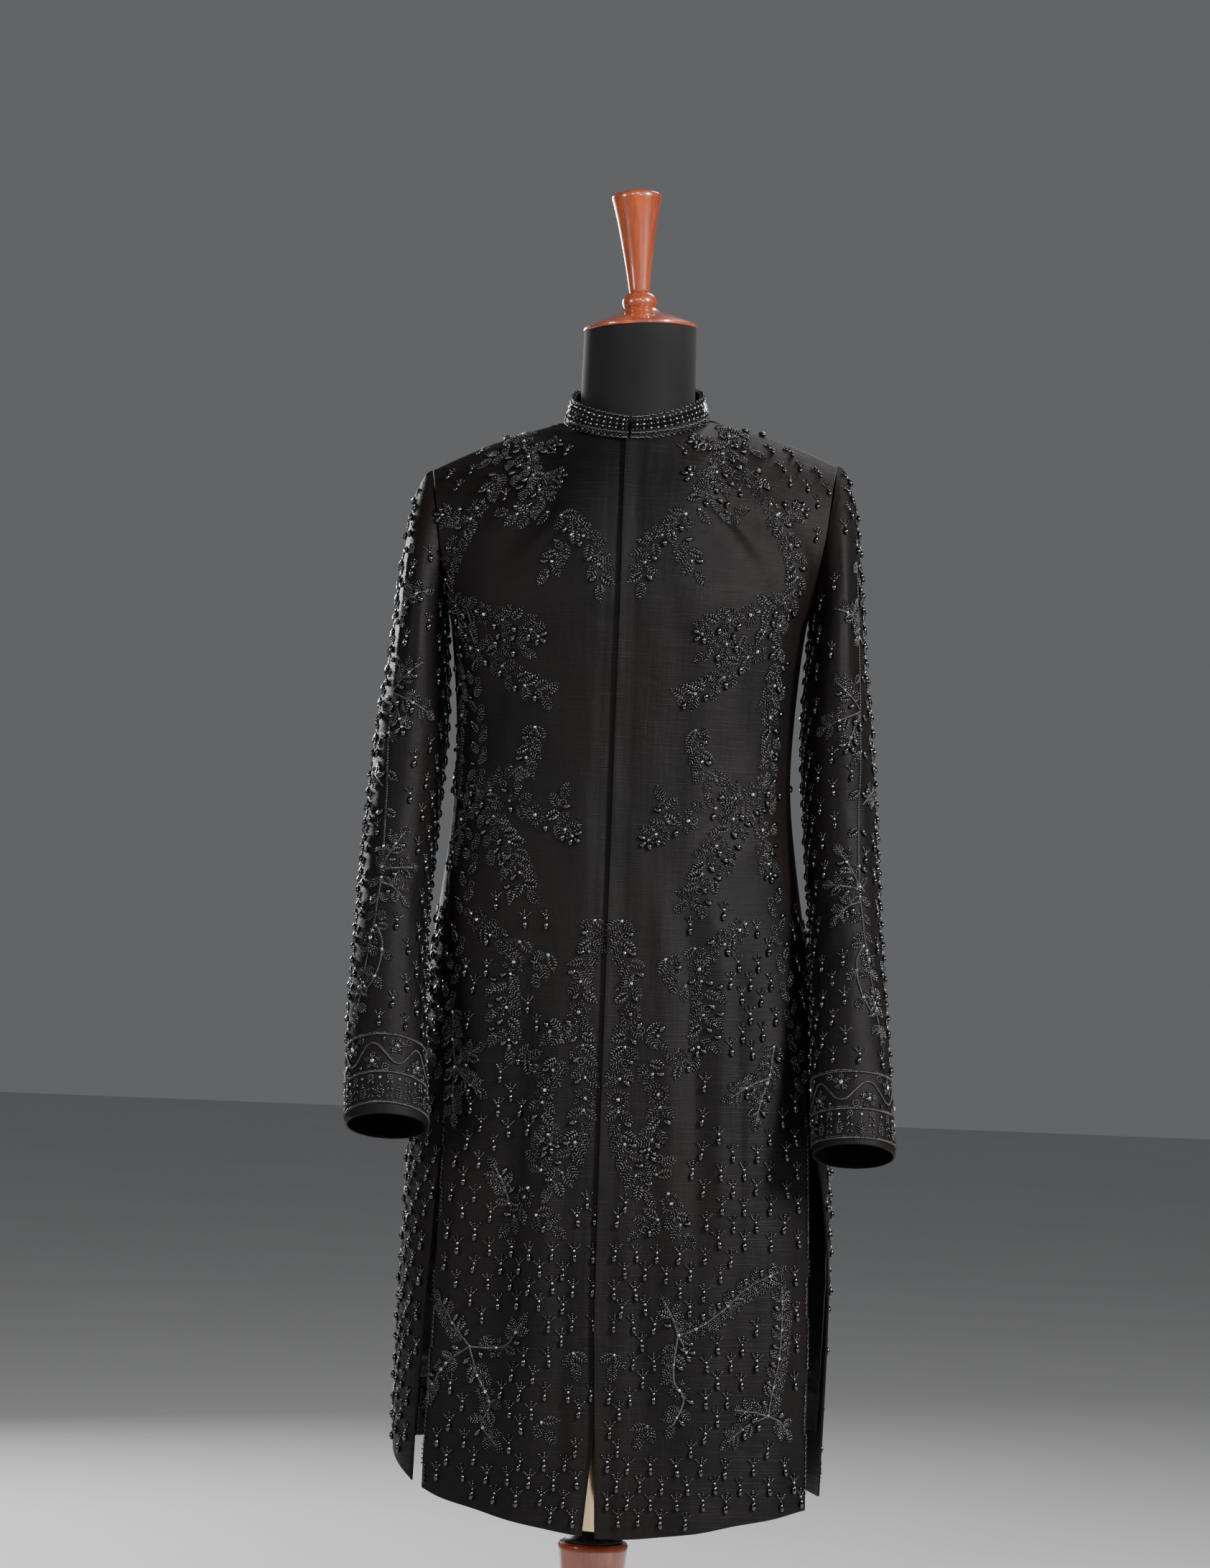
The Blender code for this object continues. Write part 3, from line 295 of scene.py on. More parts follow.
# finishes that speckle or cloud: the sizes of their noises, a base colour, and what each noise brings in
# where it runs from low to high. Black beads, here and there bluish or smoky; springy blackened purl;
# cut drops of solid black glass; faceted stones with a thin metal lustre, some faintly blue; dusty rubber
speckledLooks = {
    "jetGlass": {
        "shader": {"IOR": 1.6, "Specular_IOR_Level": 0.62}, "noises": (240, 320),
        "base": (0.0028, 0.0027, 0.0028),
        "tints": ((0, 0.60, 0.68, (0.016, 0.020, 0.028)), (1, 0.56, 0.64, (0.042, 0.036, 0.033))),
        "metal": (1, 0.56, 0.66, 0.0, 0.7), "rough": (0, 0.3, 0.7, 0.07, 0.14),
    },
    "purlWire": {
        "shader": {"Specular_IOR_Level": 0.6}, "noises": (1400,), "base": (0.024, 0.023, 0.023),
        "tints": ((0, 0.35, 0.7, (0.084, 0.079, 0.077)),),
        "metal": (0, 0.3, 0.7, 0.55, 0.95), "rough": (0, 0.3, 0.7, 0.26, 0.42), "bump": (0.0001, 0.5),
    },
    "blackDrop": {
        "shader": {"IOR": 1.6, "Specular_IOR_Level": 0.65}, "noises": (260,),
        "base": (0.0012, 0.0012, 0.0013),
        "tints": ((0, 0.5, 0.8, (0.006, 0.006, 0.008)),), "rough": (0, 0.3, 0.7, 0.03, 0.09),
    },
    "cutCrystal": {
        "shader": {"IOR": 1.7, "Specular_IOR_Level": 0.8, "Coat_Weight": 0.5, "Coat_Roughness": 0.01},
        "noises": (130, 210), "base": (0.010, 0.010, 0.011),
        "tints": ((1, 0.42, 0.58, (0.42, 0.41, 0.40)), (0, 0.62, 0.68, (0.16, 0.32, 0.48))),
        "metal": (1, 0.42, 0.58, 0.15, 0.95), "rough": (0, 0.3, 0.7, 0.08, 0.14),
    },
    "blackRubber": {
        "shader": {"Specular_IOR_Level": 0.45}, "noises": (160,), "detail": 4.0,
        "base": (0.010, 0.010, 0.011), "tints": ((0, 0.45, 0.8, (0.05, 0.05, 0.052)),),
        "rough": (0, 0.3, 0.8, 0.35, 0.6), "bump": (0.0001, 0.3),
    },
}


def speckled(name):
    look = speckledLooks[name]
    material, tree, shader = newMaterial(name, **look["shader"])
    place, detail = ownPlace(tree), look.get("detail", 1.0)
    noises = [stretchedNoise(tree, place, (size, size, size), detail) for size in look["noises"]]

    def mask(which, *span):
        return between(tree, noises[which], *span)

    colour = look["base"]
    for which, low, high, tint in look["tints"]:
        colour = mixColours(tree, mask(which, low, high), colour, tint)
    feed(tree, shader, Base_Color=colour, Roughness=mask(*look["rough"]))
    if "metal" in look:
        feed(tree, shader, Metallic=mask(*look["metal"]))
    if "bump" in look:
        bumpOn(tree, shader, noises[0], *look["bump"])
    return material


# shells: each cloth piece is a finer skin on its solid's own form

def pickOnly(piece):
    bpy.ops.object.select_all(action="DESELECT")
    piece.select_set(True)
    bpy.context.view_layer.objects.active = piece


def skinOf(node, name, levels, sharpAngle=35):
    # the solid's mesh, merged to quads, its rims kept crisp and the rest smoothed
    mesh = cadNodes[node].data.copy()
    mesh.name = name
    piece = bpy.data.objects.new(name, mesh)
    bpy.context.scene.collection.objects.link(piece)
    mesh.materials.clear()
    pickOnly(piece)
    if mesh.has_custom_normals:
        bpy.ops.mesh.customdata_custom_splitnormals_clear()
    bpy.ops.object.mode_set(mode="EDIT")
    bpy.ops.mesh.select_mode(type="EDGE")
    bpy.ops.mesh.select_all(action="SELECT")
    bpy.ops.mesh.remove_doubles(threshold=0.00002)
    if levels:
        bpy.ops.mesh.tris_convert_to_quads(face_threshold=math.pi, shape_threshold=math.pi)
        bpy.ops.mesh.select_all(action="DESELECT")
        bpy.ops.mesh.edges_select_sharp(sharpness=math.radians(sharpAngle))
        bpy.ops.transform.edge_crease(value=1.0)
    bpy.ops.object.mode_set(mode="OBJECT")
    if levels:
        smoothing = piece.modifiers.new("smoothing", "SUBSURF")
        smoothing.levels = smoothing.render_levels = levels
        bpy.ops.object.modifier_apply(modifier="smoothing")
    return piece


def pointsOf(piece, field="co"):
    flat = np.empty(len(piece.data.vertices) * 3)
    piece.data.vertices.foreach_get(field, flat)
    return flat.reshape(-1, 3)


def setPoints(piece, points):
    piece.data.vertices.foreach_set("co", points.ravel())
    piece.data.update()


def aroundPole(points):
    # degrees round from the front
    return np.degrees(np.arctan2(points[:, 0] - poleX, -(points[:, 1] - poleY)))


def softStep(values, low, high):
    t = np.clip((values - low) / (high - low), 0, 1)
    return t * t * (3 - 2 * t)


def frontEdgeX(height):
    # how far the front edge stands from the pole: it leans a little
    away = (0.0015, -0.0037, -0.0078, -0.0090, -0.0105)
    return poleX + np.interp(height, (0.36, 0.47, 0.56, 0.66, 1.45), away)


# soft troughs and ridges of the body; a crease has its first and last place, in degrees round and height,
# how far it stands out, and its width
bodyFolds = {
    "strength": 1.6, "perDegree": 0.0028, "wave": 0.0005, "shoulder": (1.36, 1.42), "foot": (0.35, 0.42),
    "creases": [
        (36, 1.405, 62, 1.330, -0.0030, 0.012), (33, 1.385, 58, 1.300, 0.0022, 0.014),
        (-40, 1.395, -60, 1.330, -0.0028, 0.013), (-32, 1.380, -56, 1.290, 0.0020, 0.014),
        (-18, 1.262, -6, 1.266, -0.0012, 0.004), (52, 1.235, 66, 1.120, -0.0024, 0.012),
        (-50, 1.225, -68, 1.110, -0.0022, 0.013), (58, 1.100, 34, 1.050, -0.0020, 0.010),
        (66, 1.060, 40, 1.015, 0.0018, 0.010), (-60, 1.090, -38, 1.045, -0.0018, 0.010),
        (30, 1.040, 36, 0.560, -0.0034, 0.013), (42, 1.030, 50, 0.480, 0.0030, 0.014),
        (19, 1.000, 22, 0.640, 0.0016, 0.012), (55, 0.980, 60, 0.420, -0.0030, 0.012),
        (12, 0.760, 15, 0.380, -0.0018, 0.011), (-24, 0.930, -26, 0.420, 0.0018, 0.013),
        (-36, 0.960, -41, 0.440, -0.0026, 0.013), (-50, 0.900, -55, 0.400, 0.0024, 0.013),
        (-14, 0.640, -15, 0.370, -0.0014, 0.010), (104, 1.180, 128, 1.060, -0.0030, 0.014),
        (-104, 1.170, -130, 1.070, -0.0028, 0.014), (118, 1.060, 160, 1.030, 0.0024, 0.012),
        (-116, 1.050, -164, 1.035, 0.0022, 0.012), (128, 1.380, 112, 1.270, -0.0026, 0.013),
        (-126, 1.370, -112, 1.260, -0.0026, 0.013), (122, 0.960, 124, 0.430, -0.0034, 0.016),
        (146, 0.980, 148, 0.430, 0.0030, 0.016), (168, 0.900, 170, 0.430, -0.0024, 0.014),
        (-108, 0.940, -110, 0.440, -0.0032, 0.015), (-134, 0.990, -134, 0.430, 0.0032, 0.016),
        (-156, 0.930, -158, 0.430, -0.0026, 0.015),
    ],
}

# folds of the front cloth, by x and height
frontFolds = {
    "strength": 1.25, "perDegree": 1.0, "foot": (0.36, 0.44),
    "creases": [
        (0.090, 1.425, 0.158, 1.338, 0.0034, 0.009), (0.070, 1.400, 0.146, 1.300, -0.0034, 0.015),
        (0.158, 1.360, 0.168, 1.270, 0.0024, 0.010), (-0.104, 1.415, -0.160, 1.320, 0.0026, 0.011),
        (-0.084, 1.385, -0.150, 1.285, -0.0028, 0.015), (-0.060, 1.300, -0.120, 1.230, 0.0014, 0.010),
        (0.036, 1.300, 0.050, 1.090, -0.0016, 0.014), (0.066, 1.200, 0.058, 0.960, 0.0018, 0.012),
        (-0.046, 1.180, -0.052, 0.960, 0.0014, 0.013), (0.128, 1.150, 0.060, 1.105, -0.0016, 0.007),
        (-0.126, 1.140, -0.066, 1.100, -0.0014, 0.007), (0.034, 0.930, 0.040, 0.400, -0.0020, 0.010),
        (0.092, 0.960, 0.104, 0.400, 0.0034, 0.012), (0.124, 0.900, 0.138, 0.380, -0.0030, 0.011),
        (0.152, 0.880, 0.172, 0.400, 0.0026, 0.012), (-0.060, 0.860, -0.072, 0.400, 0.0020, 0.012),
        (-0.098, 0.900, -0.112, 0.400, -0.0022, 0.012),
    ],
}

# the same on the sleeves: degrees round from the outer side towards the front, and height
sleeveFolds = {
    "perDegree": 0.0010, "shoulder": (1.20, 1.28), "foot": (0.80, 0.86),
    "creases": [
        (60, 1.000, 140, 0.965, -0.0026, 0.008), (40, 0.975, 130, 0.935, 0.0020, 0.009),
        (70, 0.940, 150, 0.905, -0.0022, 0.008), (30, 1.130, 95, 1.060, -0.0020, 0.011),
        (20, 1.200, 80, 1.110, 0.0018, 0.012), (85, 1.160, 60, 1.030, 0.0016, 0.010),
        (200, 1.080, 290, 1.030, -0.0022, 0.010), (210, 0.990, 300, 0.960, 0.0018, 0.010),
        (300, 1.180, 340, 1.060, -0.0022, 0.011), (20, 0.900, 75, 0.850, -0.0014, 0.009),
        (280, 0.900, 330, 0.845, -0.0016, 0.010),
    ],
}


def creaseLift(degrees, height, folds):
    lift = np.zeros_like(height)
    for a0, z0, a1, z1, stand, wide in folds["creases"]:
        run = np.array([(a1 - a0) * folds["perDegree"], z1 - z0])
        length = np.linalg.norm(run)
        across = (degrees - a0 + 180) % 360 - 180
        offset = np.stack([across * folds["perDegree"], height - z0], axis=1)
        along = offset @ run / length ** 2
        away = np.abs(offset @ np.array([-run[1], run[0]])) / length
        wander = 0.25 * wide * np.sin(along * 7 + a0)
        taper = np.sin(np.pi * np.clip(along, 0, 1)) ** 0.7
        lift += stand * taper * np.exp(-((away + wander) / wide) ** 2)
    return lift


def rimPoints(piece):
    # points along a skin's sharp rims: its seams and free edges
    points = pointsOf(piece)
    marks = piece.data.attributes.get("crease_edge").data
    edges = [edge.vertices[:] for edge, mark in zip(piece.data.edges, marks) if mark.value > 0.5]
    return [points[a] * (1 - t) + points[b] * t for a, b in edges for t in (0.0, 0.25, 0.5, 0.75)]


seamLook = {"dip": 0.00045, "reach": 0.0032}


def seamDip(piece):
    # the cloth rolls in a little where it is sewn or turned under
    rims = rimPoints(piece)
    tree = KDTree(len(rims))
    for index, point in enumerate(rims):
        tree.insert(point, index)
    tree.balance()
    away = np.array([tree.find(point)[2] for point in pointsOf(piece)])
    return -seamLook["dip"] * np.exp(-(away / seamLook["reach"]) ** 2)


# the folded front edges: how far they stand proud, how wide the roll is, and the stitched valley behind it
edgeRoll = {
    "over": 0.0020, "under": -0.0009, "wide": 0.0055,
    "valley": 0.0007, "valleyAt": 0.0150, "valleyWide": 0.0035,
}


def outwardFlat(points, middle):
    flat = points - middle
    flat[:, 2] = 0
    return flat / np.maximum(np.linalg.norm(flat, axis=1), 1e-9)[:, None]


def pushOut(piece, middle, lift, rolled=True):
    # moves cloth in or out flat from its middle, and rolls it in at its seams and edges
    points = pointsOf(piece)
    out = outwardFlat(points, middle)
    moved = points + out * lift[:, None]
    if rolled:
        normals = pointsOf(piece, "normal")
        facing = np.sign((normals * out).sum(axis=1) + 1e-9)[:, None]
        moved = moved + normals * facing * seamDip(piece)[:, None]
    setPoints(piece, moved)


def bodyLift(points):
    # how far creases and slow waves push the cloth of the body in or out
    degrees, height, folds = aroundPole(points), points[:, 2], bodyFolds
    lift = creaseLift(degrees, height, folds) * folds["strength"]
    waves = folds["wave"] * np.sin(height * 41 + degrees * 0.11) * np.sin(degrees * 0.19 + height * 9)
    return (lift + waves) * (1 - softStep(height, *folds["shoulder"])) * softStep(height, *folds["foot"])


def shapeBody(piece):
    points, roll = pointsOf(piece), edgeRoll
    lift, height = bodyLift(points), points[:, 2]
    if "front" in piece.name:
        hanging = softStep(height, *frontFolds["foot"])
        lift += creaseLift(points[:, 0], height, frontFolds) * hanging * frontFolds["strength"]
        away = np.abs(points[:, 0] - frontEdgeX(height))
        lift += roll["over" if "left" in piece.name else "under"] * np.exp(-(away / roll["wide"]) ** 2)
        lift -= roll["valley"] * np.exp(-((away - roll["valleyAt"]) / roll["valleyWide"]) ** 2)
    pushOut(piece, poleFoot, lift)


def addClothChart(piece, chart):
    # a UV map in metres of cloth; chart gives each point's place across and along the grain
    across, along = chart(pointsOf(piece))
    layer = piece.data.uv_layers.get("cloth") or piece.data.uv_layers.new(name="cloth")
    loops = np.empty(len(piece.data.loops), dtype=np.int32)
    piece.data.loops.foreach_get("vertex_index", loops)
    layer.data.foreach_set("uv", np.stack([across[loops], along[loops]], axis=1).ravel())
    for other in [item.name for item in piece.data.uv_layers if item.name != "cloth"]:
        piece.data.uv_layers.remove(piece.data.uv_layers[other])


def bodyChart(points):
    # the grain runs up the body, and over the shoulders it turns to run across them
    height = points[:, 2]
    shoulder = softStep(height, 1.24, 1.36)
    across = np.radians(aroundPole(points)) * 0.165 * (1 - shoulder)
    across += (points[:, 0] - poleX) * 1.15 * shoulder
    over = np.clip(height - 1.30, 0, 1) * 0.35
    return across, height + over + np.abs(points[:, 1] - poleY) * -0.5 * softStep(height, 1.36, 1.44)


# sleeves have a bent axis of their own, read off the solids

class SleeveAxis:
    def __init__(self, side, nodes):
        self.side = side
        cloud = np.concatenate([np.array([v.co[:] for v in cadNodes[node].data.vertices]) for node in nodes])
        self.heights = np.linspace(0.775, 1.200, 11)
        centres = []
        for height in self.heights:
            slab = cloud[np.abs(cloud[:, 2] - height) < 0.018]
            centres.append((slab.min(axis=0) + slab.max(axis=0))[:2] / 2)
        self.centres = np.array(centres)
        self.lean = np.gradient(self.centres[:, 1], self.heights)

    def centre(self, height):
        low = self.heights[0]
        clamped = np.clip(height, low, self.heights[-1])
        x = np.interp(clamped, self.heights, self.centres[:, 0])
        y = np.interp(clamped, self.heights, self.centres[:, 1])
        return x, y + (height - clamped) * np.where(height < low, self.lean[0], 0.0)

    def pitch(self, height):
        return np.arctan(np.interp(height, self.heights, self.lean))

    def place(self, points):
        # degrees round, from the outer side towards the front, and the height of the ring's middle
        height = points[:, 2].copy()
        for _ in range(3):
            x, y = self.centre(height)
            pitch = self.pitch(height)
            height = points[:, 2] + (points[:, 1] - y) * np.sin(pitch) * np.cos(pitch)
        x, y = self.centre(height)
        return np.degrees(np.arctan2(-(points[:, 1] - y), (points[:, 0] - x) * self.side)) % 360, height

    def ring(self, degrees, height, reach):
        # a point out from the axis, in the ring that stands square to the arm
        x, y = self.centre(height)
        pitch, turn = float(self.pitch(height)), math.radians(degrees)
        ahead = math.sin(turn)
        way = Vector((math.cos(turn) * self.side, -ahead * math.cos(pitch), ahead * math.sin(pitch)))
        return Vector((float(x), float(y), height)) + way * reach, way


def shapeSleeve(piece, axis):
    degrees, height = axis.place(pointsOf(piece))
    lift = creaseLift(degrees, height, sleeveFolds)
    lift = lift * (1 - softStep(height, *sleeveFolds["shoulder"])) * softStep(height, *sleeveFolds["foot"])
    x, y = axis.centre(height)
    pushOut(piece, np.stack([x, y, height * 0], axis=1), lift)


def sleeveChart(axis):
    def chart(points):
        degrees, height = axis.place(points)
        return np.radians(degrees) * 0.058, height * 1.04
    return chart


def finishPiece(piece, slot, materials, replaced=(), angle=50):
    pickOnly(piece)
    for material in materials:
        piece.data.materials.append(material)
    bpy.ops.object.shade_smooth_by_angle(angle=math.radians(angle))
    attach(piece, "root")
    if replaced:
        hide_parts(*replaced)
    return piece


# every cut piece's flat size in metres, as width and length, and its area
cutSizes = {
    "front_left": ((0.300, 1.130), 0.253),
    "front_right": ((0.300, 1.130), 0.231),
    "back_left": ((0.300, 1.110), 0.306),
    "back_right": ((0.340, 1.110), 0.322),
    "sleeve_top_left": ((0.240, 0.760), 0.140),
    "sleeve_top_right": ((0.240, 0.750), 0.134),
    "sleeve_under_left": ((0.110, 0.660), 0.0536),
    "sleeve_under_right": ((0.110, 0.640), 0.0511),
    "collar": ((0.420, 0.045), 0.0128),
    "lining_left": ((0.290, 0.400), 0.111),
    "lining_right": ((0.330, 0.400), 0.126),
}


def cutSheet(node):
    flat, area = cutSizes[node]


liningLook = {"pucker": 0.0007, "inward": 0.0009}


def shapeLining(piece):
    # it follows the coat's creases and puckers between them
    points, look = pointsOf(piece), liningLook
    degrees, height = aroundPole(points), points[:, 2]
    pucker = np.sin(height * 150 + np.sin(degrees * 0.3) * 2) * np.sin(degrees * 0.9 + height * 30)
    pushOut(piece, poleFoot, bodyLift(points) + look["pucker"] * pucker - look["inward"], False)


def dressPiece(node, shape, chart, slot, material, restsOn, levels=2, angle=35):
    piece = skinOf(node, "coat_" + node, levels, angle)
    if shape:
        shape(piece)
    addClothChart(piece, chart)
    finishPiece(piece, slot, [material], [node])
    cutSheet(node)
    return piece


def dressCoat(silk, lining):
    skins, axes = {}, {}
    for node in bodyNodes:
        skins[node] = dressPiece(node, shapeBody, bodyChart, "coat_silk", silk, "form_body")
    for side, word in sides:
        pair = ["sleeve_top_" + word, "sleeve_under_" + word]
        axis = axes[side] = SleeveAxis(side, pair)
        for node in pair:
            shape, restsOn = (lambda piece: shapeSleeve(piece, axis)), "coat_front_" + word
            skins[node] = dressPiece(node, shape, sleeveChart(axis), "coat_silk", silk, restsOn)
    skins["collar"] = dressPiece("collar", None, bodyChart, "coat_silk", silk, "coat_front_left", 1, 60)
    for side, word in sides:
        dressPiece("lining_" + word, shapeLining, bodyChart, "lining_satin", lining, "coat_back_" + word)
    print("coat dressed")
    return skins, axes


standPieces = {
    "form_body": ("padded_form", 1, "form_jersey", "jersey", 25),
    "neck_cap": ("turned_cap", 1, "lacquered_wood", "woodUp", 25),
    "cap_handle": ("turned_handle", 1, "lacquered_wood", "woodUp", 25),
    "hub": ("turned_hub", 1, "lacquered_wood", "woodUp", 25),
    "leg_1": ("stand_leg_1", 0, "lacquered_wood", "woodAcross", 40),
    "leg_2": ("stand_leg_2", 0, "lacquered_wood", "woodAlong", 40),
    "leg_3": ("stand_leg_3", 0, "lacquered_wood", "woodAcross", 40),
    "pole": ("brass_pole", 0, "polished_brass", "brass", 40),
    "pole_ring": ("foot_collar", 1, "black_rubber", "rubber", 25),
    "hub_screw": ("cross_screw", 0, "polished_brass", "screw", 40),
}

# how far the padding gives way under the coat, so that no crease sinks into it, and where that ends
padding = {"gives": 0.0055, "ends": (1.40, 1.45)}


def dressStand(materials):
    for node, (name, levels, slot, material, angle) in standPieces.items():
        piece = skinOf(node, name, levels, angle)
        if node == "form_body":
            kept = softStep(pointsOf(piece)[:, 2], *padding["ends"])
            pushOut(piece, poleFoot, padding["gives"] * (kept - 1), False)
        finishPiece(piece, slot, [materials[material]], [node], 50 if levels else 35)
    print("form and stand finished")


# beads: each shape is modelled once, then sewn on as copies; its length lies along X and it stands on Z

beadSizes = {
    "seed": 0.00128, "stringPitch": 0.00200, "crystal": 0.0021,
    "bugleLength": 0.0046, "bugleRadius": 0.00090, "threadLength": 0.0030, "threadRadius": 0.0010,
    "barLength": 0.0080, "barRadius": 0.0014, "dropLength": 0.0098, "dropRadius": 0.0029,
}

# how far each kind stands off the cloth, its share of the shape's thickness, and its finish:
# 0 jet, 1 wire, 2 black drops, 3 cut crystals
beadKinds = {
    kind: {"shape": shape, "rise": rise, "slim": slim, "finish": finish, "smooth": kind != "bar"}
    for kind, shape, rise, slim, finish in (
        ("seed", "seed", 0.0007, 1.0, 0), ("string3", "string3", 0.0007, 1.0, 0),
        ("string2", "string2", 0.0007, 1.0, 0), ("bugle", "bugle", 0.0007, 1.0, 0),
        ("bar", "bar", 0.0006, 1.0, 2), ("purl", "bugle", 0.0006, 0.78, 1),
        ("twist", "thread", 0.0006, 1.0, 1), ("crystal", "crystal", 0.0010, 1.0, 3),
        ("drop", "drop", 0.0019, 1.0, 2),
    )
}


def takeShape():
    piece = bpy.context.object
    bpy.ops.object.mode_set(mode="EDIT")
    bpy.ops.mesh.select_all(action="SELECT")
    bpy.ops.mesh.remove_doubles(threshold=0.00001)
    bpy.ops.mesh.quads_convert_to_tris()
    bpy.ops.mesh.normals_make_consistent(inside=False)
    bpy.ops.object.mode_set(mode="OBJECT")
    points = pointsOf(piece).copy()
    corners = np.array([face.vertices[:] for face in piece.data.polygons], dtype=np.int32)
    bpy.data.objects.remove(piece)
    return points, corners


def squeeze(x, y, z):
    bpy.ops.object.transform_apply(location=False, rotation=True, scale=False)
    bpy.ops.transform.resize(value=(x, y, z))
    bpy.ops.object.transform_apply(location=False, rotation=False, scale=True)


def modelString(count):
    # beads threaded close together along X, each of two open cones set base to base
    size, halves = beadSizes, []
    for step in range(count):
        middle = (step - (count - 1) / 2) * size["stringPitch"]
        for side in (1, -1):
            bpy.ops.mesh.primitive_cone_add(
                vertices=4, radius1=size["seed"], radius2=0, depth=size["seed"], end_fill_type="NOTHING",
                location=(middle + side * size["seed"] / 2, 0, 0), rotation=(0, side * math.pi / 2, 0),
            )
            bpy.ops.object.transform_apply(location=True, rotation=True, scale=False)
            halves.append(bpy.context.object)
    for half in halves:
        half.select_set(True)
    bpy.ops.object.join()
    return takeShape()


def modelRod(sides, radius, length, flat=1):
    rod = (0, math.pi / 2, 0)
    bpy.ops.mesh.primitive_cylinder_add(vertices=sides, radius=radius, depth=length, rotation=rod)
    squeeze(1, 1, flat)
    return takeShape()


def modelBeads():
    size = beadSizes
    shapes = {"seed": modelString(1), "string3": modelString(3), "string2": modelString(2)}
    shapes["bugle"] = modelRod(5, size["bugleRadius"], size["bugleLength"])
    shapes["thread"] = modelRod(4, size["threadRadius"], size["threadLength"])
    shapes["bar"] = modelRod(6, size["barRadius"], size["barLength"], 0.7)
    bpy.ops.mesh.primitive_uv_sphere_add(segments=6, ring_count=3, radius=size["crystal"])
    squeeze(1.0, 1.0, 0.8)
    shapes["crystal"] = takeShape()
    bpy.ops.mesh.primitive_uv_sphere_add(segments=6, ring_count=4, radius=1, rotation=(0, math.pi / 2, 0))
    squeeze(size["dropLength"] / 2, size["dropRadius"], size["dropRadius"] * 0.9)
    points, corners = takeShape()
    points[:, 1:] *= np.where(points[:, 0] < -0.001, 0.72, 1.05)[:, None]
    shapes["drop"] = (points, corners)
    return shapes


class Cloth:
    # one or more skins to sew on, and which skin each face belongs to
    def __init__(self, pieces):
        points, faces, self.owners = [], [], []
        for piece in pieces:
            start = len(points)
            points += [tuple(vertex.co) for vertex in piece.data.vertices]
            for face in piece.data.polygons:
                faces.append([start + index for index in face.vertices])
                self.owners.append(piece.name)
        self.tree = BVHTree.FromPolygons(points, faces)


class Needle:
    # a place on the cloth with a heading; across is counted outwards, away from the coat's middle
    def __init__(self, cloth, place, normal, heading, hand, owner):
        self.cloth, self.place, self.normal = cloth, place, normal
        self.heading = (heading - normal * heading.dot(normal)).normalized()
        self.hand, self.owner = hand, owner

    def sideways(self):
        return self.heading.cross(self.normal) * self.hand

    def move(self, along, across=0.0):
        if abs(along) + abs(across) < 1e-9:
            return self
        target = self.place + self.heading * along + self.sideways() * across
        place, normal, index, away = self.cloth.tree.find_nearest(target + self.normal * 0.0012)
        if place is None or away > 0.0042 or normal.dot(self.normal) < 0.55:
            return None
        return Needle(self.cloth, place, normal, self.heading, self.hand, self.cloth.owners[index])

    def turned(self, degrees):
        turn = math.radians(degrees)
        heading = self.heading * math.cos(turn) + self.sideways() * math.sin(turn)
        return Needle(self.cloth, self.place, self.normal, heading, self.hand, self.owner)


def reach(needle, turn, along, across=0.0, face=0.0):
    # turn, walk, and turn again; None once the cloth has ended
    if needle is None:
        return None
    moved = needle.turned(turn).move(along, across)
    return moved.turned(face) if moved is not None and face else moved


def needleAt(cloth, start, way, up, out):
    place, normal, index, _ = cloth.tree.ray_cast(start, way)
    if place is None or normal.dot(way) > -0.10:
        return None
    hand = 1 if up.cross(normal).dot(out) > 0 else -1
    return Needle(cloth, place, normal, up, hand, cloth.owners[index])


def walk(find, way, step):
    # needles at even steps along a smooth curve through the way's places, each facing onwards
    ends = [way[0], *way, way[-1]]
    line = []
    for k in range(1, len(ends) - 2):
        before, here, there, after = (np.array(ends[k + j], dtype=float) for j in (-1, 0, 1, 2))
        for t in np.arange(0, 1, 0.02):
            bend = 2 * here + (there - before) * t + (2 * before - 5 * here + 4 * there - after) * t * t
            bend += (3 * here - before - 3 * there + after) * t ** 3
            line.append(find(*(bend / 2)))
    stops, gone = [], step
    for here, there in zip(line, line[1:]):
        if here is None or there is None:
            continue
        gap = there.place - here.place
        gone += gap.length
        if gone >= step and gap.length > 1e-6:
            gone, onward = 0, gap.normalized()
            stops.append(Needle(here.cloth, here.place, here.normal, onward, here.hand, here.owner))
    return stops


sewn = {}
taken = []


def isFree(needle, clear):
    if needle is None:
        return False
    if taken and np.min(np.sum((np.array(taken) - np.array(needle.place)) ** 2, axis=1)) < clear ** 2:
        return False
    taken.append(needle.place[:])
    return True


def sew(kind, needle, length=1.0, width=1.0):
    if needle is None:
        return
    place = needle.place + needle.normal * beadKinds[kind]["rise"] * width
    across = needle.normal.cross(needle.heading)
    sewn.setdefault(needle.owner, {}).setdefault(kind, []).append(
        (*place, *needle.heading, *across, *needle.normal, length, width)
    )


# motifs: ordinary leaves, flowers, sprigs and vines, each drawn by its own rule

sprigLook = {"fan": (-42, 0, 42), "sway": 7, "stringAt": 0.0050, "dropAt": 0.0060, "crystal": 0.70}


def sprig(needle, size):
    # three short strings over a crystal, with a cut drop that hangs below
    look = sprigLook
    sew("crystal", needle, look["crystal"] * size, look["crystal"] * size)
    for turn in look["fan"]:
        sew("string3", reach(needle, turn + jitter(look["sway"]), look["stringAt"] * size), 0.98 * size, size)
    sew("drop", reach(needle, 180 + jitter(look["sway"]), look["dropAt"] * size), 0.90 * size, 0.84 * size)


leafLook = {"rowPitch": 0.0026, "slant": 56, "clear": 0.0068, "longHalf": 0.0036, "fullHalf": 0.0042}


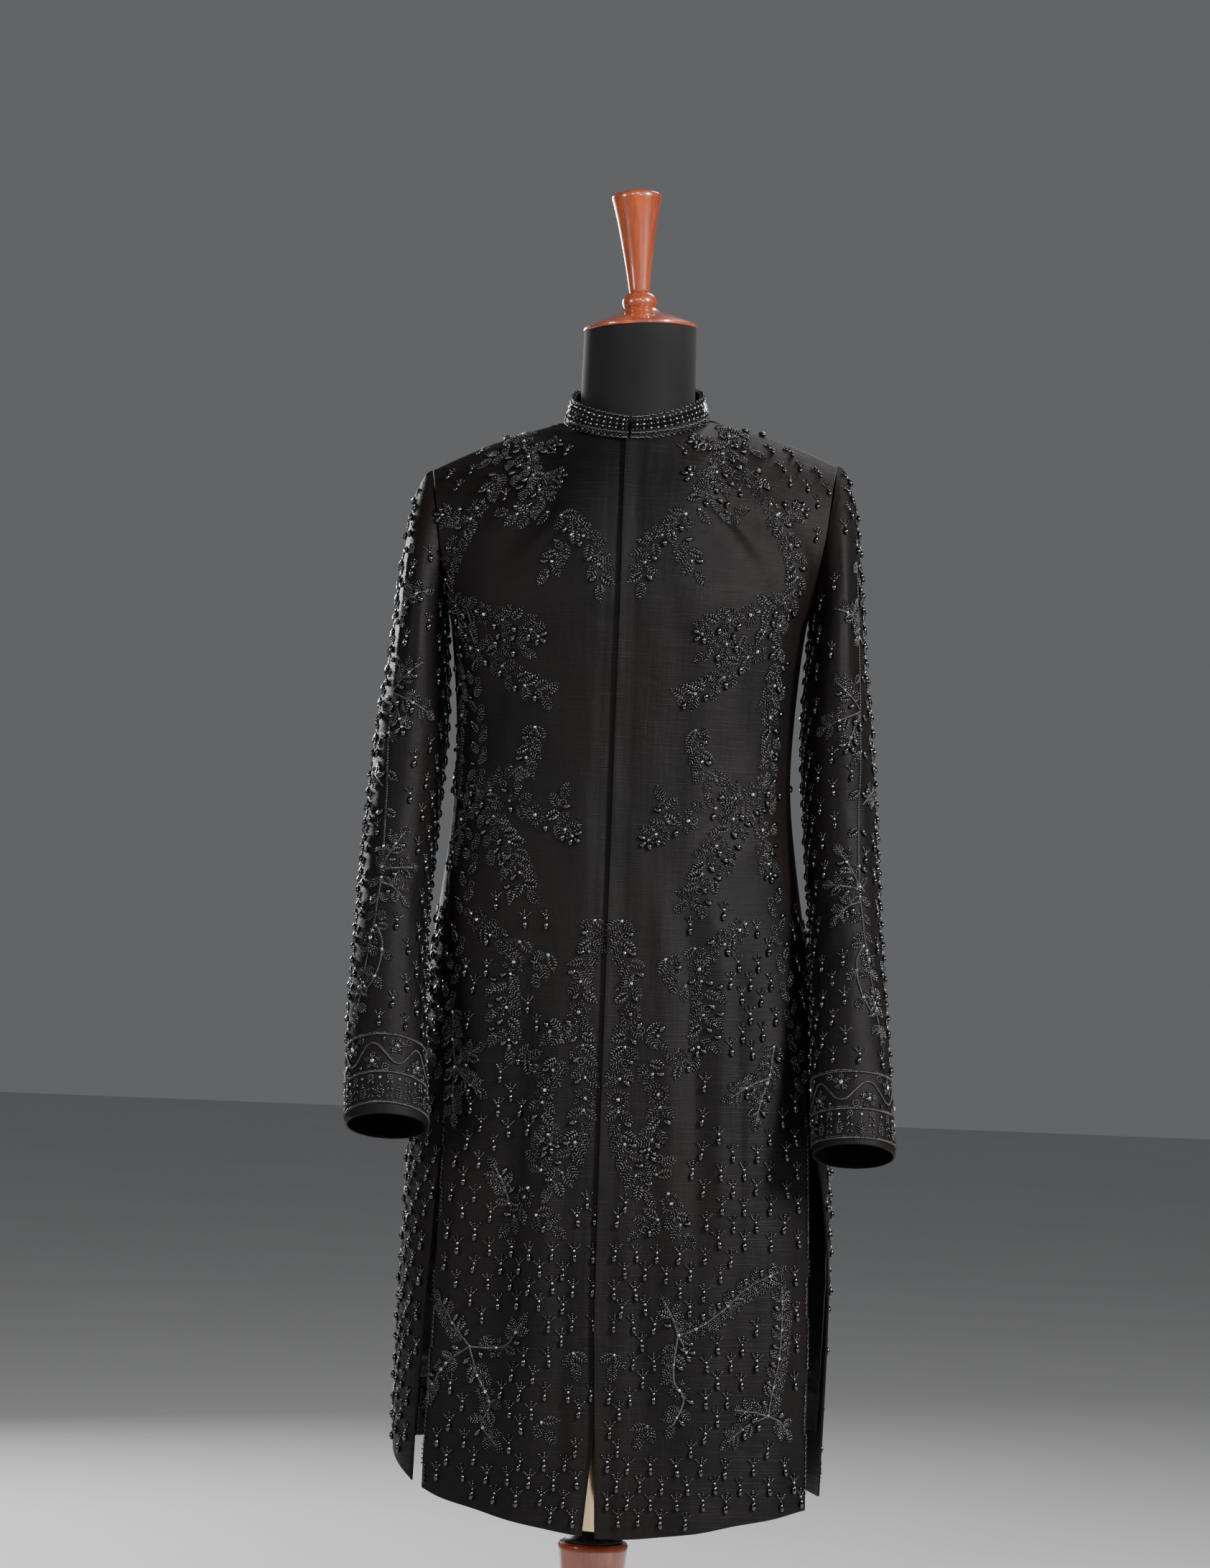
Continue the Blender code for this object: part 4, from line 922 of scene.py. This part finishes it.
def leaf(needle, length, width, kind="string"):
    # slanted strings of beads on both sides of a midrib make a pointed oval
    look = leafLook
    if needle is None or not isFree(needle.move(length * 0.5), look["clear"]):
        return
    rows = max(3, round(length / look["rowPitch"]))
    for row in range(rows):
        share = (row + 0.5) / rows
        half = width / 2 * math.sin(math.pi * share ** 0.8) ** 0.6
        for side in (1, -1):
            away = side * (half * 0.52 + 0.0002)
            spot = reach(needle, 0, share * length - 0.0006, away, side * look["slant"])
            if kind == "string":
                sew("string3" if half > look["longHalf"] else "string2", spot, 0.98)
            else:
                sew(kind, spot, half / look["fullHalf"], 1.1 if kind == "bugle" else 1.0)
    sew("string2", needle.move(length + 0.0002), 0.9, 0.9)


def ring(kind, needle, away, face=0, *sizes):
    # seven beads round a needle
    for step in range(7):
        sew(kind, reach(needle, 360 / 7 * step, away, 0, face), *sizes)


def flower(needle, radius, petals=6):
    if needle is None or not isFree(needle, 0.011):
        return
    sew("crystal", needle, 1.25, 1.25)
    ring("seed", needle, radius * 0.31)
    for step in range(petals):
        turn = 360 / petals * step
        for fan, kind, share in ((-17, "string2", 0.66), (0, "string3", 0.74), (17, "string2", 0.66)):
            sew(kind, reach(needle, turn + fan, radius * share, 0, -fan * 0.7))
        taken.append((reach(needle, turn, radius * 0.8) or needle).place[:])


def rosette(needle, radius=0.0046):
    # a coil of purl round one seed
    if needle is None or not isFree(needle, 0.0045):
        return
    sew("seed", needle, 1.2, 1.2)
    ring("purl", needle, radius * 0.72, 90, 0.62, 0.95)


def hangDrop(needle, size=1.0):
    if isFree(needle, 0.0042):
        sew("drop", needle, size, size)


twistLook = {"pitch": 0.0017, "lay": 27}


def cord(find, way, beaded=False):
    # a twisted cord, with seeds beside it where beaded
    for stop in walk(find, way, twistLook["pitch"]):
        sew("twist", stop.turned(twistLook["lay"]))
        if beaded:
            sew("seed", reach(stop, 90, 0.0017), 0.8, 0.7)


leafKinds = ("string", "string", "bugle", "string", "purl", "string", "string", "bugle", "string")


def cluster(needle, index, full, size):
    # what grows at one joint of a spray: leaves both ways, with a drop or a coil between
    side = 1 if index % 2 else -1
    long, wide = 0.0142 * size, 0.0104 * size
    first, second = leafKinds[index % 9], leafKinds[(index + 4) % 9]
    leaf(reach(needle, side * luck.uniform(40, 56), 0.0026), long, wide, first)
    if index % 2 == 1:
        hangDrop(reach(needle, -side * 62, 0.0085 * size), 0.95)
        if index % 4 == 1:
            rosette(reach(needle, -side * 24, 0.0066 * size))
    else:
        leaf(reach(needle, -side * luck.uniform(46, 62), 0.0026), long, wide, second)
    if index % 3 == 0:
        sew("crystal", needle.move(0.001))
    if full > 1 and index % 2 == 0:
        leaf(reach(needle, side * 78, 0.0145 * size, 0, -side * 50), long * 0.9, wide * 0.9, second)
        hangDrop(reach(needle, side * 96, 0.0170 * size), 0.9)


def spray(find, plan):
    # clusters along the way, flowers at the stops that are named, and a tip
    size, full = plan.get("size", 1.0), plan.get("full", 1)
    stops = walk(find, plan["way"], plan.get("step", 0.0108) * size)
    if not stops:
        return
    if plan.get("cord"):
        cord(find, plan["way"])
    flowers, bare, every = plan.get("flowers", ()), plan.get("bare", 0), plan.get("every", 1)
    for index in flowers:
        if index < len(stops):
            flower(stops[index], 0.0130 * size)
    for index, needle in enumerate(stops[:-1]):
        if index not in flowers and index >= bare and index % every == 0:
            cluster(needle, index + plan.get("shift", 0), full, size)
    last, tip = stops[-1], plan.get("tip", "leaf")
    if tip == "leaf":
        leaf(last, 0.0155 * size, 0.0105 * size)
    elif tip == "flower":
        flower(last, 0.0130 * size)
    elif tip == "drops":
        for turn in (-64, 0, 64):
            hangDrop(reach(last, turn, 0.0062), 0.9)
        sew("crystal", last)


def grow(*places, unit=1000, **look):
    # a way given as out, up, out, up in millimetres, and what differs from a plain spray
    return {"way": [(out / unit, up / 1000) for out, up in zip(places[::2], places[1::2])], **look}


# sprays of one half of the front, mirrored on the other: out from the front edge, and height
frontSprays = [
    grow(104, 1462, 100, 1428, 86, 1397, 68, 1371, full=2, flowers=(2,), tip="flower"),
    grow(62, 1366, 46, 1350, 29, 1333, 22, 1311, 20, 1291),
    grow(98, 1430, 82, 1440, 66, 1441, tip="drops"),
    grow(92, 1410, 78, 1404, 64, 1406, tip="drops"),
    grow(106, 1440, 122, 1438, 136, 1430),
    grow(74, 1370, 94, 1368, 116, 1371, flowers=(1,)),
    grow(50, 1346, 62, 1332, 70, 1316, 78, 1302),
    grow(125, 1414, 142, 1384, 157, 1359, 169, 1333,
         175, 1308, 172, 1287, 166, 1262, flowers=(4,), shift=1),
    grow(154, 1368, 168, 1372, 184, 1374, tip="drops"),
    grow(164, 1280, 145, 1273, 120, 1263, 98, 1258, 78, 1243, full=2, flowers=(4,), tip="drops"),
    grow(160, 1258, 135, 1252, 113, 1241, 86, 1226, flowers=(3,)),
    grow(162, 1238, 143, 1234, 121, 1221, 100, 1201,
         78, 1189, 56, 1181, flowers=(3,), shift=2, tip="flower"),
    grow(160, 1222, 156, 1198, 153, 1170, 156, 1135, 152, 1106, flowers=(5,), shift=1),
    grow(79, 1154, 86, 1126, 92, 1102, size=0.94),
    grow(160, 1108, 140, 1095, 123, 1076, 113, 1052, 98, 1034,
         91, 1013, 84, 994, 74, 983, full=2, flowers=(3,)),
    grow(122, 1088, 108, 1098, 92, 1104),
    grow(112, 1080, 94, 1076, 74, 1064, 50, 1054, 32, 1040, flowers=(4,), tip="drops", shift=2),
    grow(56, 1062, 52, 1076, 46, 1092),
    grow(144, 1080, 150, 1056, 156, 1030, 160, 1010, flowers=(2,), shift=1, tip="drops"),
    grow(119, 1028, 118, 1018),
    grow(136, 966, 121, 950, 106, 934, flowers=(1,)),
    grow(86, 940, 92, 915, 97, 890, 96, 865, 93, 841, full=2, flowers=(2,), tip="drops"),
    grow(57, 928, 69, 911, 86, 895),
    grow(13, 964, 17, 934, 26, 912, 22, 888, 26, 866, 21, 842, 18, 816,
         16, 790, 20, 762, 28, 734, 38, 712, 50, 694, flowers=(9, 17), step=0.0104),
    grow(30, 854, 47, 853, 66, 850, tip="flower", shift=1),
    grow(44, 826, 54, 800, 58, 772, 50, 750, 46, 732, flowers=(3,), shift=2, tip="drops"),
    grow(94, 834, 76, 826, 62, 812),
    grow(56, 716, 60, 728, 62, 740),
    grow(68, 700, 76, 678, 87, 660, flowers=(1,)),
    grow(60, 674, 50, 668, 40, 660),
    grow(20, 542, 18, 526),
    grow(52, 474, 44, 460),
]

vineLook = {"cord": True, "size": 0.86, "step": 0.0105}

# corded vines on the wearer's left, and on the right
leftVines = [
    grow(82, 562, 76, 578, 67, 595, bare=1),
    grow(82, 562, 100, 569, 125, 587, 149, 609, 180, 625, flowers=(2,)),
    grow(82, 562, 78, 537, 78, 516, 87, 500, 76, 474, bare=1, flowers=(6,)),
    grow(82, 562, 88, 550, 93, 538, bare=1, tip="drops"),
    grow(170, 484, 174, 506, 181, 537, 184, 573, 183, 610),
    grow(170, 484, 154, 488, 136, 490, bare=1),
    grow(170, 484, 150, 475, 130, 459, bare=1),
    grow(170, 484, 182, 478, 190, 465, bare=1),
    grow(168, 846, 164, 814, 156, 790, 152, 768, flowers=(4,)),
    grow(164, 814, 143, 805, 126, 794, bare=1),
]
rightVines = [
    grow(122, 541, 137, 561, 152, 585, bare=1),
    grow(122, 541, 100, 541, 84, 546, 72, 566, bare=1, flowers=(3,)),
    grow(122, 541, 114, 513, 102, 487, 110, 466, 96, 448, bare=1, flowers=(5,)),
    grow(122, 541, 146, 522, 166, 484, 172, 450, bare=1, flowers=(4,)),
    grow(86, 682, 94, 703, 104, 720),
    grow(146, 815, 134, 824, 121, 834, bare=1),
    grow(146, 815, 135, 801, 118, 788, bare=1),
    grow(150, 868, 149, 840, 146, 815, 147, 786, 144, 760),
]


upright = Vector((0, 0, 1))


def onPanel(cloth, side, back=False):
    # a finder for places out from the middle and up, on the front or the back
    facing = 1 if back else -1

    def find(away, height):
        x = (poleX if back else frontEdgeX(height)) + side * away
        lean = float(softStep(np.array(height), 1.04, 1.36))
        start = Vector((x, facing * 0.8, height + 0.05 * side * away * lean))
        return needleAt(cloth, start, Vector((0, -facing, 0)), upright, Vector((side, 0, 0)))
    return find


def aroundBody(cloth, degrees, height):
    turn = math.radians(degrees)
    way = Vector((math.sin(turn), -math.cos(turn), 0))
    start = Vector((poleX, poleY, height)) + way * 0.5
    ahead = Vector((math.cos(turn), math.sin(turn), 0)) * (1 if degrees > 0 else -1)
    return needleAt(cloth, start, -way, upright, ahead)


def crowdTree(names):
    places = [bead[:3] for name in names for beads in sewn.get(name, {}).values() for bead in beads]
    tree = KDTree(max(1, len(places)))
    for index, place in enumerate(places):
        tree.insert(place, index)
    tree.balance()
    return tree


def roomFor(needle, crowd, clear):
    if needle is None:
        return False
    for along, across in ((0.011, 0), (-0.014, 0), (0, 0.009), (0, -0.009)):
        if needle.move(along, across) is None:
            return False
    for along in (0.004, -0.008):
        found = crowd.find((needle.move(along) or needle).place)
        if found[0] is not None and found[2] < clear:
            return False
    return True


def trySprig(needle, crowd, clear, lean, size, spread=None):
    if not roomFor(needle, crowd, clear):
        return 0
    sprig(needle.turned(luck.uniform(-lean, lean)), size * luck.uniform(*spread) if spread else size)
    return 1


sprigGrid = {
    "columnDegrees": 4.0, "row": 0.0340, "clear": 0.0070,
    "skirtTop": 0.735, "sideTop": 0.985, "sideFrom": 31.0, "lowest": 0.385,
    "backColumnDegrees": 5.4, "backRow": 0.040, "size": 1.12,
}


def sprigsOnSkirt(cloth, crowd):
    grid, count = sprigGrid, 0
    for back in (False, True):
        pitch = grid["backColumnDegrees"] if back else grid["columnDegrees"]
        rise = grid["backRow"] if back else grid["row"]
        columns = int(100 / pitch)
        for column in range(-columns, columns + 1):
            degrees = (column * pitch + (180 if back else 0) + 180) % 360 - 180
            if abs(degrees) < 2 or (abs(degrees) > 82) != back:
                continue
            inward = 180 - abs(degrees) if back else abs(degrees)
            top = grid["sideTop"] if inward > grid["sideFrom"] else grid["skirtTop"]
            height = grid["lowest"] + (rise / 2 if column % 2 else 0.0)
            while height < top:
                needle = aroundBody(cloth, degrees + jitter(0.6), height + jitter(0.002))
                count += trySprig(needle, crowd, grid["clear"], 6, grid["size"], (0.93, 1.06))
                height += rise
    return count


shoulderGrid = {"first": 0.058, "column": 0.0195, "top": 1.476, "row": 0.0175, "clear": 0.0062, "size": 0.94}


def sprigsOnShoulders(cloth, crowd):
    grid, count = shoulderGrid, 0
    for back in (False, True):
        for side in (1, -1):
            find = onPanel(cloth, side, back)
            for row in range(9):
                for column in range(8):
                    away = grid["first"] + column * grid["column"] + (0.0095 if row % 2 else 0)
                    away += jitter(0.002)
                    height = grid["top"] - row * grid["row"] - away * 0.12 + jitter(0.002)
                    if height >= 1.335 + (0.19 - away) * 0.45:
                        count += trySprig(find(away, height), crowd, grid["clear"], 14, grid["size"])
    return count


def sideVine(cloth, side, low, high):
    # leaves, drops and coils up the side seam, close together
    def find(degrees, height):
        return aroundBody(cloth, side * degrees, height)

    stops = walk(find, [(68, low), (65, 1.0), (68, high)], 0.0098)
    for index, needle in enumerate(stops):
        hand = 1 if index % 2 else -1
        leaf(reach(needle, hand * 40, 0.002), 0.0135, 0.0095, leafKinds[index % 9])
        if index % 2:
            rosette(reach(needle, 0, 0.003, -hand * 0.007))
        else:
            hangDrop(reach(needle, -hand * 80, 0.0075), 0.85)


# heights between which the vents are edged, the pitch of the loops, and where each edge is looked for
ventLook = {"from": (0.405, 0.775), "pitch": 0.0046, "inset": 0.004, "front": (50, 80), "back": (55, 110)}


def edgeBeads(cloth, side, which, low, high):
    # a row of little loops along the vent's edge
    height = low
    while height < high:
        best = None
        for degrees in np.arange(*ventLook[which], 0.5):
            needle = aroundBody(cloth, side * degrees, height)
            if needle is not None and which in needle.owner:
                best = needle
                if which == "back":
                    break
        inner = reach(best, 0, 0, ventLook["inset"] * (-1 if which == "front" else 1))
        sew("string2", reach(inner, 60, 0.0), 0.95, 0.9)
        sew("seed", reach(inner, 0, 0.0024), 0.9, 0.9)
        height += ventLook["pitch"]


def shifted(plan, wider, out, up):
    # the same plan, drawn wider or further out and up, for the back
    return {**plan, "way": [(away * wider + out, height + up) for away, height in plan["way"]]}


def beadBody(cloth):
    for side in (1, -1):
        for plan in frontSprays:
            spray(onPanel(cloth, side), plan)
        sideVine(cloth, side, 0.80, 1.235)
        for which in ("front", "back"):
            edgeBeads(cloth, side, which, *ventLook["from"])
        for plan in frontSprays[:23]:
            spray(onPanel(cloth, side, True), shifted(plan, 1, 0.008, 0.012))
    for side, vines in ((1, leftVines), (-1, rightVines)):
        for plan in vines:
            plan = {**vineLook, **plan}
            spray(onPanel(cloth, side), plan)
            spray(onPanel(cloth, -side, True), shifted(plan, 0.9, 0, 0.02))
    crowd = crowdTree(["coat_" + node for node in bodyNodes])
    print("sprays sewn")
    onSkirt, onShoulders = sprigsOnSkirt(cloth, crowd), sprigsOnShoulders(cloth, crowd)
    print("sprigs on the skirt:", onSkirt, "and on the shoulders:", onShoulders)


cuffPlan = {"lines": (0.0025, 0.0305, 0.0660), "foot": 0.742, "swing": 0.0092}

# vines of a sleeve: degrees round from the outer side towards the front, and height
sleeveVines = [
    grow(75, 1330, 73, 1260, 71, 1190, 74, 1110, 77, 1040, 80, 985, every=4, shift=1, unit=1),
    grow(80, 975, 76, 940, 62, 890, 50, 845, every=2, flowers=(7,), unit=1),
    grow(72, 1180, 82, 1192, 96, 1208, bare=1, unit=1),
    grow(72, 1178, 86, 1170, 106, 1158, bare=1, unit=1),
    grow(72, 1176, 79, 1160, 86, 1138, bare=1, tip="drops", unit=1),
    grow(73, 1262, 84, 1274, 98, 1280, unit=1),
    grow(79, 985, 88, 1008, 98, 1030, unit=1),
    grow(79, 982, 92, 984, 110, 988, bare=1, unit=1),
    grow(79, 968, 92, 962, 106, 948, bare=1, unit=1),
    grow(76, 928, 84, 912, 80, 888, 68, 872, 60, 882, every=3, tip="drops", unit=1),
    grow(70, 1080, 56, 1092, 40, 1100, bare=1, unit=1),
    grow(300, 1240, 310, 1160, 300, 1080, 290, 1000, 300, 920, 310, 850, every=3, unit=1),
    grow(306, 1160, 286, 1170, 268, 1184, bare=1, unit=1),
    grow(302, 1090, 322, 1100, 340, 1116, bare=1, unit=1),
    grow(292, 990, 272, 1000, 256, 1014, bare=1, unit=1),
    grow(300, 930, 322, 940, 338, 954, bare=1, unit=1),
]


def onSleeve(cloth, axis):
    def find(degrees, height):
        start, way = axis.ring(degrees, height, 0.14)
        turn = math.radians(degrees)
        pitch = float(axis.pitch(height))
        up = Vector((0, math.sin(pitch), math.cos(pitch)))
        out = Vector((math.sin(turn) * axis.side, math.cos(turn), 0))
        return needleAt(cloth, start, -way, up, out)
    return find


def beadCuff(find, foot):
    low, middle, high = (foot + line for line in cuffPlan["lines"])
    for height in (low, middle, high):
        cord(find, [(turn, height) for turn in range(0, 361, 30)], True)
    centre, swing = (middle + high) / 2, cuffPlan["swing"]
    cord(find, [(turn, centre + swing * math.sin(math.radians(turn * 6))) for turn in range(0, 361, 10)])
    for step in range(12):
        # upper band: flowers in the vine's hollows, leaves and coils along it
        turn = 15 + 30 * step
        away = -1 if step % 2 == 0 else 1
        flower(find(turn, centre + away * 0.0075), 0.0092, 5)
        for aside in (-11, 11):
            spot = find(turn + aside, centre - away * 0.001)
            leaf(reach(spot, 0 if away > 0 else 180, 0.0, 0, aside * 2), 0.0105, 0.0078)
        rosette(find(turn + 15, centre + away * 0.013), 0.0040)
        hangDrop(find(turn + 14, centre - away * 0.013), 0.55)
    for step in range(30):
        # lower band: small upright leaves, with bugles and coils between
        turn = 12 * step
        if step % 2:
            leaf(find(turn, low + 0.0045), 0.0125, 0.0078, "purl" if step % 4 == 1 else "string")
            sew("crystal", find(turn, middle - 0.0055), 0.8, 0.8)
        else:
            for up, tilt, kind in ((0.006, 32, "purl"), (0.0125, 36, "bugle"), (0.019, 30, "bugle")):
                for hand in (1, -1):
                    spot = find(turn + 2.2 * hand, low + up)
                    sew(kind, spot.turned(tilt * hand) if spot is not None else None, 0.95, 0.95)
            rosette(find(turn, low + 0.0232), 0.0034)


sleeveGrid = {
    "columnDegrees": 15.2, "row": 0.0355, "above": 0.084, "top": 1.335, "cap": 1.352,
    "clear": 0.0068, "size": 1.06,
}


def beadSleeve(cloth, axis, foot):
    find, grid, count = onSleeve(cloth, axis), sleeveGrid, 0
    beadCuff(find, foot)
    for plan in sleeveVines:
        spray(find, {**vineLook, **plan})
    crowd = crowdTree(set(cloth.owners))
    rise = grid["row"]
    for column, degrees in enumerate(np.arange(-8, 345, grid["columnDegrees"])):
        for row in range(17):
            height = foot + grid["above"] + row * rise + (rise / 2 if column % 2 else 0) + jitter(0.002)
            if height <= grid["top"]:
                needle = find((degrees + jitter(1)) % 360, height)
                count += trySprig(needle, crowd, grid["clear"], 7, grid["size"])
    for column in range(-5, 6):
        for row in range(3):
            height = grid["cap"] + row * rise + (rise / 2 if column % 2 else 0)
            start = Vector((axis.side * 0.6, poleY + column * 0.0145, height))
            needle = needleAt(cloth, start, Vector((-axis.side, 0, 0)), upright, Vector((0, -1, 0)))
            count += trySprig(needle, crowd, grid["clear"], 7, grid["size"])
    print("sprigs on a sleeve:", count)


collarPlan = {"cords": (0.07, 0.27, 0.94), "barMiddle": 0.60, "barPitch": 3.0}


def beadCollar(cloth, collar):
    points = pointsOf(collar)
    middle = Vector((poleX, poleY - 0.006, 0))
    degrees = np.degrees(np.arctan2(points[:, 0] - middle.x, -(points[:, 1] - middle.y)))

    def find(angle, share):
        near = np.abs((degrees - angle + 180) % 360 - 180) < 7
        low, high = points[near, 2].min(), points[near, 2].max()
        turn = math.radians(angle)
        way = Vector((math.sin(turn), -math.cos(turn), 0))
        start = middle + way * 0.2 + Vector((0, 0, float(low + (high - low) * share)))
        return needleAt(cloth, start, -way, upright, Vector((math.cos(turn), math.sin(turn), 0)))

    for share in collarPlan["cords"]:
        for hand in (-1, 1):
            turns = [*range(178, 0, -16), 0.2]
            cord(find, [(hand * turn, share) for turn in turns])
    for step, angle in enumerate(np.arange(-178.5, 180, collarPlan["barPitch"])):
        if abs(angle) < 1.4:
            continue
        sew("bar", reach(find(angle, collarPlan["barMiddle"]), jitter(3), 0.0), 1.0, 1.0)
        kind, size, spread = ("crystal", 0.72, 0.18) if step % 2 else ("seed", 0.80, 0.20)
        for share in (0.60 - spread, 0.60, 0.60 + spread):
            sew(kind, find(angle + collarPlan["barPitch"] / 2, share), size, size)
        for share in (0.14, 0.20):
            sew("seed", find(angle + (1.5 if share > 0.15 else 0), share), 0.85, 0.85)


def sewnMesh(owner, kinds, shapes, materials):
    # joins all the beads of one piece of cloth into one mesh, each rolled its own way
    chance = np.random.default_rng(len(owner) + sum(map(ord, owner)))
    allPoints, allCorners, slots, smooth, start = [], [], [], [], 0
    for kind, beads in kinds.items():
        look = beadKinds[kind]
        points, corners = shapes[look["shape"]]
        rows, loose = np.array(beads), kind != "bar"
        roll = chance.uniform(-0.5, 0.5, len(rows)) * (2.2 if loose else 0.35)
        fibre, across, normal = rows[:, 3:6], rows[:, 6:9], rows[:, 9:12]
        tilt = chance.uniform(-0.12, 0.12, len(rows))[:, None] * loose
        fibre = fibre * np.cos(tilt) + normal * np.sin(tilt)
        standing = np.cross(fibre, across)
        side = across * np.cos(roll)[:, None] + standing * np.sin(roll)[:, None]
        width = rows[:, 13] * look["slim"]
        scale = np.stack([rows[:, 12], width, width], axis=1)
        axes = np.stack([fibre, side, np.cross(fibre, side)], axis=1)
        placed = np.einsum("nk,pk,nkc->npc", scale, points, axes) + rows[:, None, :3]
        offsets = start + np.arange(len(rows))[:, None, None] * len(points)
        faces = len(rows) * len(corners)
        allPoints.append(placed.reshape(-1, 3))
        allCorners.append((corners[None] + offsets).reshape(-1, 3))
        slots.append(np.full(faces, look["finish"], dtype=np.int32))
        smooth.append(np.full(faces, look["smooth"], dtype=bool))
        start += len(rows) * len(points)
    points, corners = np.concatenate(allPoints), np.concatenate(allCorners)
    mesh = bpy.data.meshes.new("beads_" + owner)
    mesh.vertices.add(len(points))
    mesh.loops.add(corners.size)
    mesh.polygons.add(len(corners))
    mesh.vertices.foreach_set("co", points.ravel())
    mesh.loops.foreach_set("vertex_index", corners.ravel())
    for field, values in (
        ("loop_start", np.arange(0, corners.size, 3)), ("material_index", np.concatenate(slots)),
        ("use_smooth", np.concatenate(smooth)),
    ):
        mesh.polygons.foreach_set(field, values)
    mesh.update(calc_edges=True)
    piece = bpy.data.objects.new("beads_" + owner, mesh)
    bpy.context.scene.collection.objects.link(piece)
    for material in materials:
        mesh.materials.append(material)
    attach(piece, "root")
    print(piece.name, len(corners), "triangles")
    return len(corners)


def beadAll(skins, axes, materials):
    shapes = modelBeads()
    beadBody(Cloth([skins[node] for node in bodyNodes]))
    for side, word in sides:
        sleeve = Cloth([skins["sleeve_top_" + word], skins["sleeve_under_" + word]])
        beadSleeve(sleeve, axes[side], cuffPlan["foot"] + (0.004 if side > 0 else 0.016))
    beadCollar(Cloth([skins["collar"]]), skins["collar"])
    total = sum(sewnMesh(owner, kinds, shapes, materials) for owner, kinds in sorted(sewn.items()))
    print("beads in all:", total, "triangles")


# studio

# each light's place, the height that it looks at, its size and its power
softboxes = {
    "keyRight": ((2.5, -1.9, 2.6), 1.05, (0.6, 0.9), 240),
    "fillLeft": ((-2.8, -1.7, 1.8), 1.05, (0.7, 1.2), 38),
    "topBack": ((0.9, 1.5, 3.1), 1.3, (1.0, 0.5), 18),
    "backFill": ((-1.6, 3.0, 1.9), 1.05, (0.9, 1.2), 90),
    "frontLow": ((0.2, -3.6, 2.9), 0.8, (0.35, 0.35), 34),
    "sparkleLeft": ((-1.3, -3.4, 2.5), 1.05, (0.16, 0.16), 26),
    "sparkleRight": ((1.2, -3.7, 1.8), 1.05, (0.16, 0.16), 24),
}


def addSoftbox(name, place, aim, size, power):
    bpy.ops.object.light_add(type="AREA", location=place)
    light = bpy.context.object
    light.name = name
    light.data.shape = "RECTANGLE"
    light.data.size, light.data.size_y = size
    light.data.energy = power
    light.rotation_euler = (Vector(place) - Vector((0, 0, aim))).to_track_quat("Z", "Y").to_euler()


def makeStudio():
    bpy.ops.mesh.primitive_plane_add(size=40, location=(0, 0, -0.0006))
    floor = bpy.context.object
    floor.name = "paleFloor"
    material, tree, shader = newMaterial("paleFloorPaint", Roughness=0.6)
    clouds = stretchedNoise(tree, ownPlace(tree), (1.5, 1.5, 1.5), 4.0)
    feed(tree, shader, Base_Color=mixColours(tree, clouds, (0.60, 0.60, 0.605), (0.66, 0.66, 0.66)))
    floor.data.materials.append(material)
    floor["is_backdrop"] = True
    world = bpy.data.worlds.new("softRoom")
    world.use_nodes = True
    sky = world.node_tree.nodes["Background"]
    sky.inputs[0].default_value = (0.80, 0.81, 0.83, 1)
    sky.inputs[1].default_value = 0.16
    bpy.context.scene.world = world
    for name, look in softboxes.items():
        addSoftbox(name, *look)
    print("studio lit")


placeCamera()
weaveGroup = slubWeaveGroup()
skins, axes = dressCoat(rawSilk(weaveGroup), satin(weaveGroup))
dressStand({
    "jersey": jersey(),
    "woodUp": lacqueredWood("woodGrainUp", "z"),
    "woodAcross": lacqueredWood("woodGrainAcross", "x"),
    "woodAlong": lacqueredWood("woodGrainAlong", "y"),
    "brass": brass("polishedBrass", 0.10, (0.86, 0.68, 0.40)),
    "screw": brass("screwBrass", 0.22, (0.80, 0.72, 0.58)),
    "rubber": speckled("blackRubber"),
})
beadAll(skins, axes, [speckled(name) for name in ("jetGlass", "purlWire", "blackDrop", "cutCrystal")])
makeStudio()
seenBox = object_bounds()
boxes = {"cad": cadBox, "visual": seenBox}
{name: [list(corner) for corner in box] for name, box in boxes.items()}
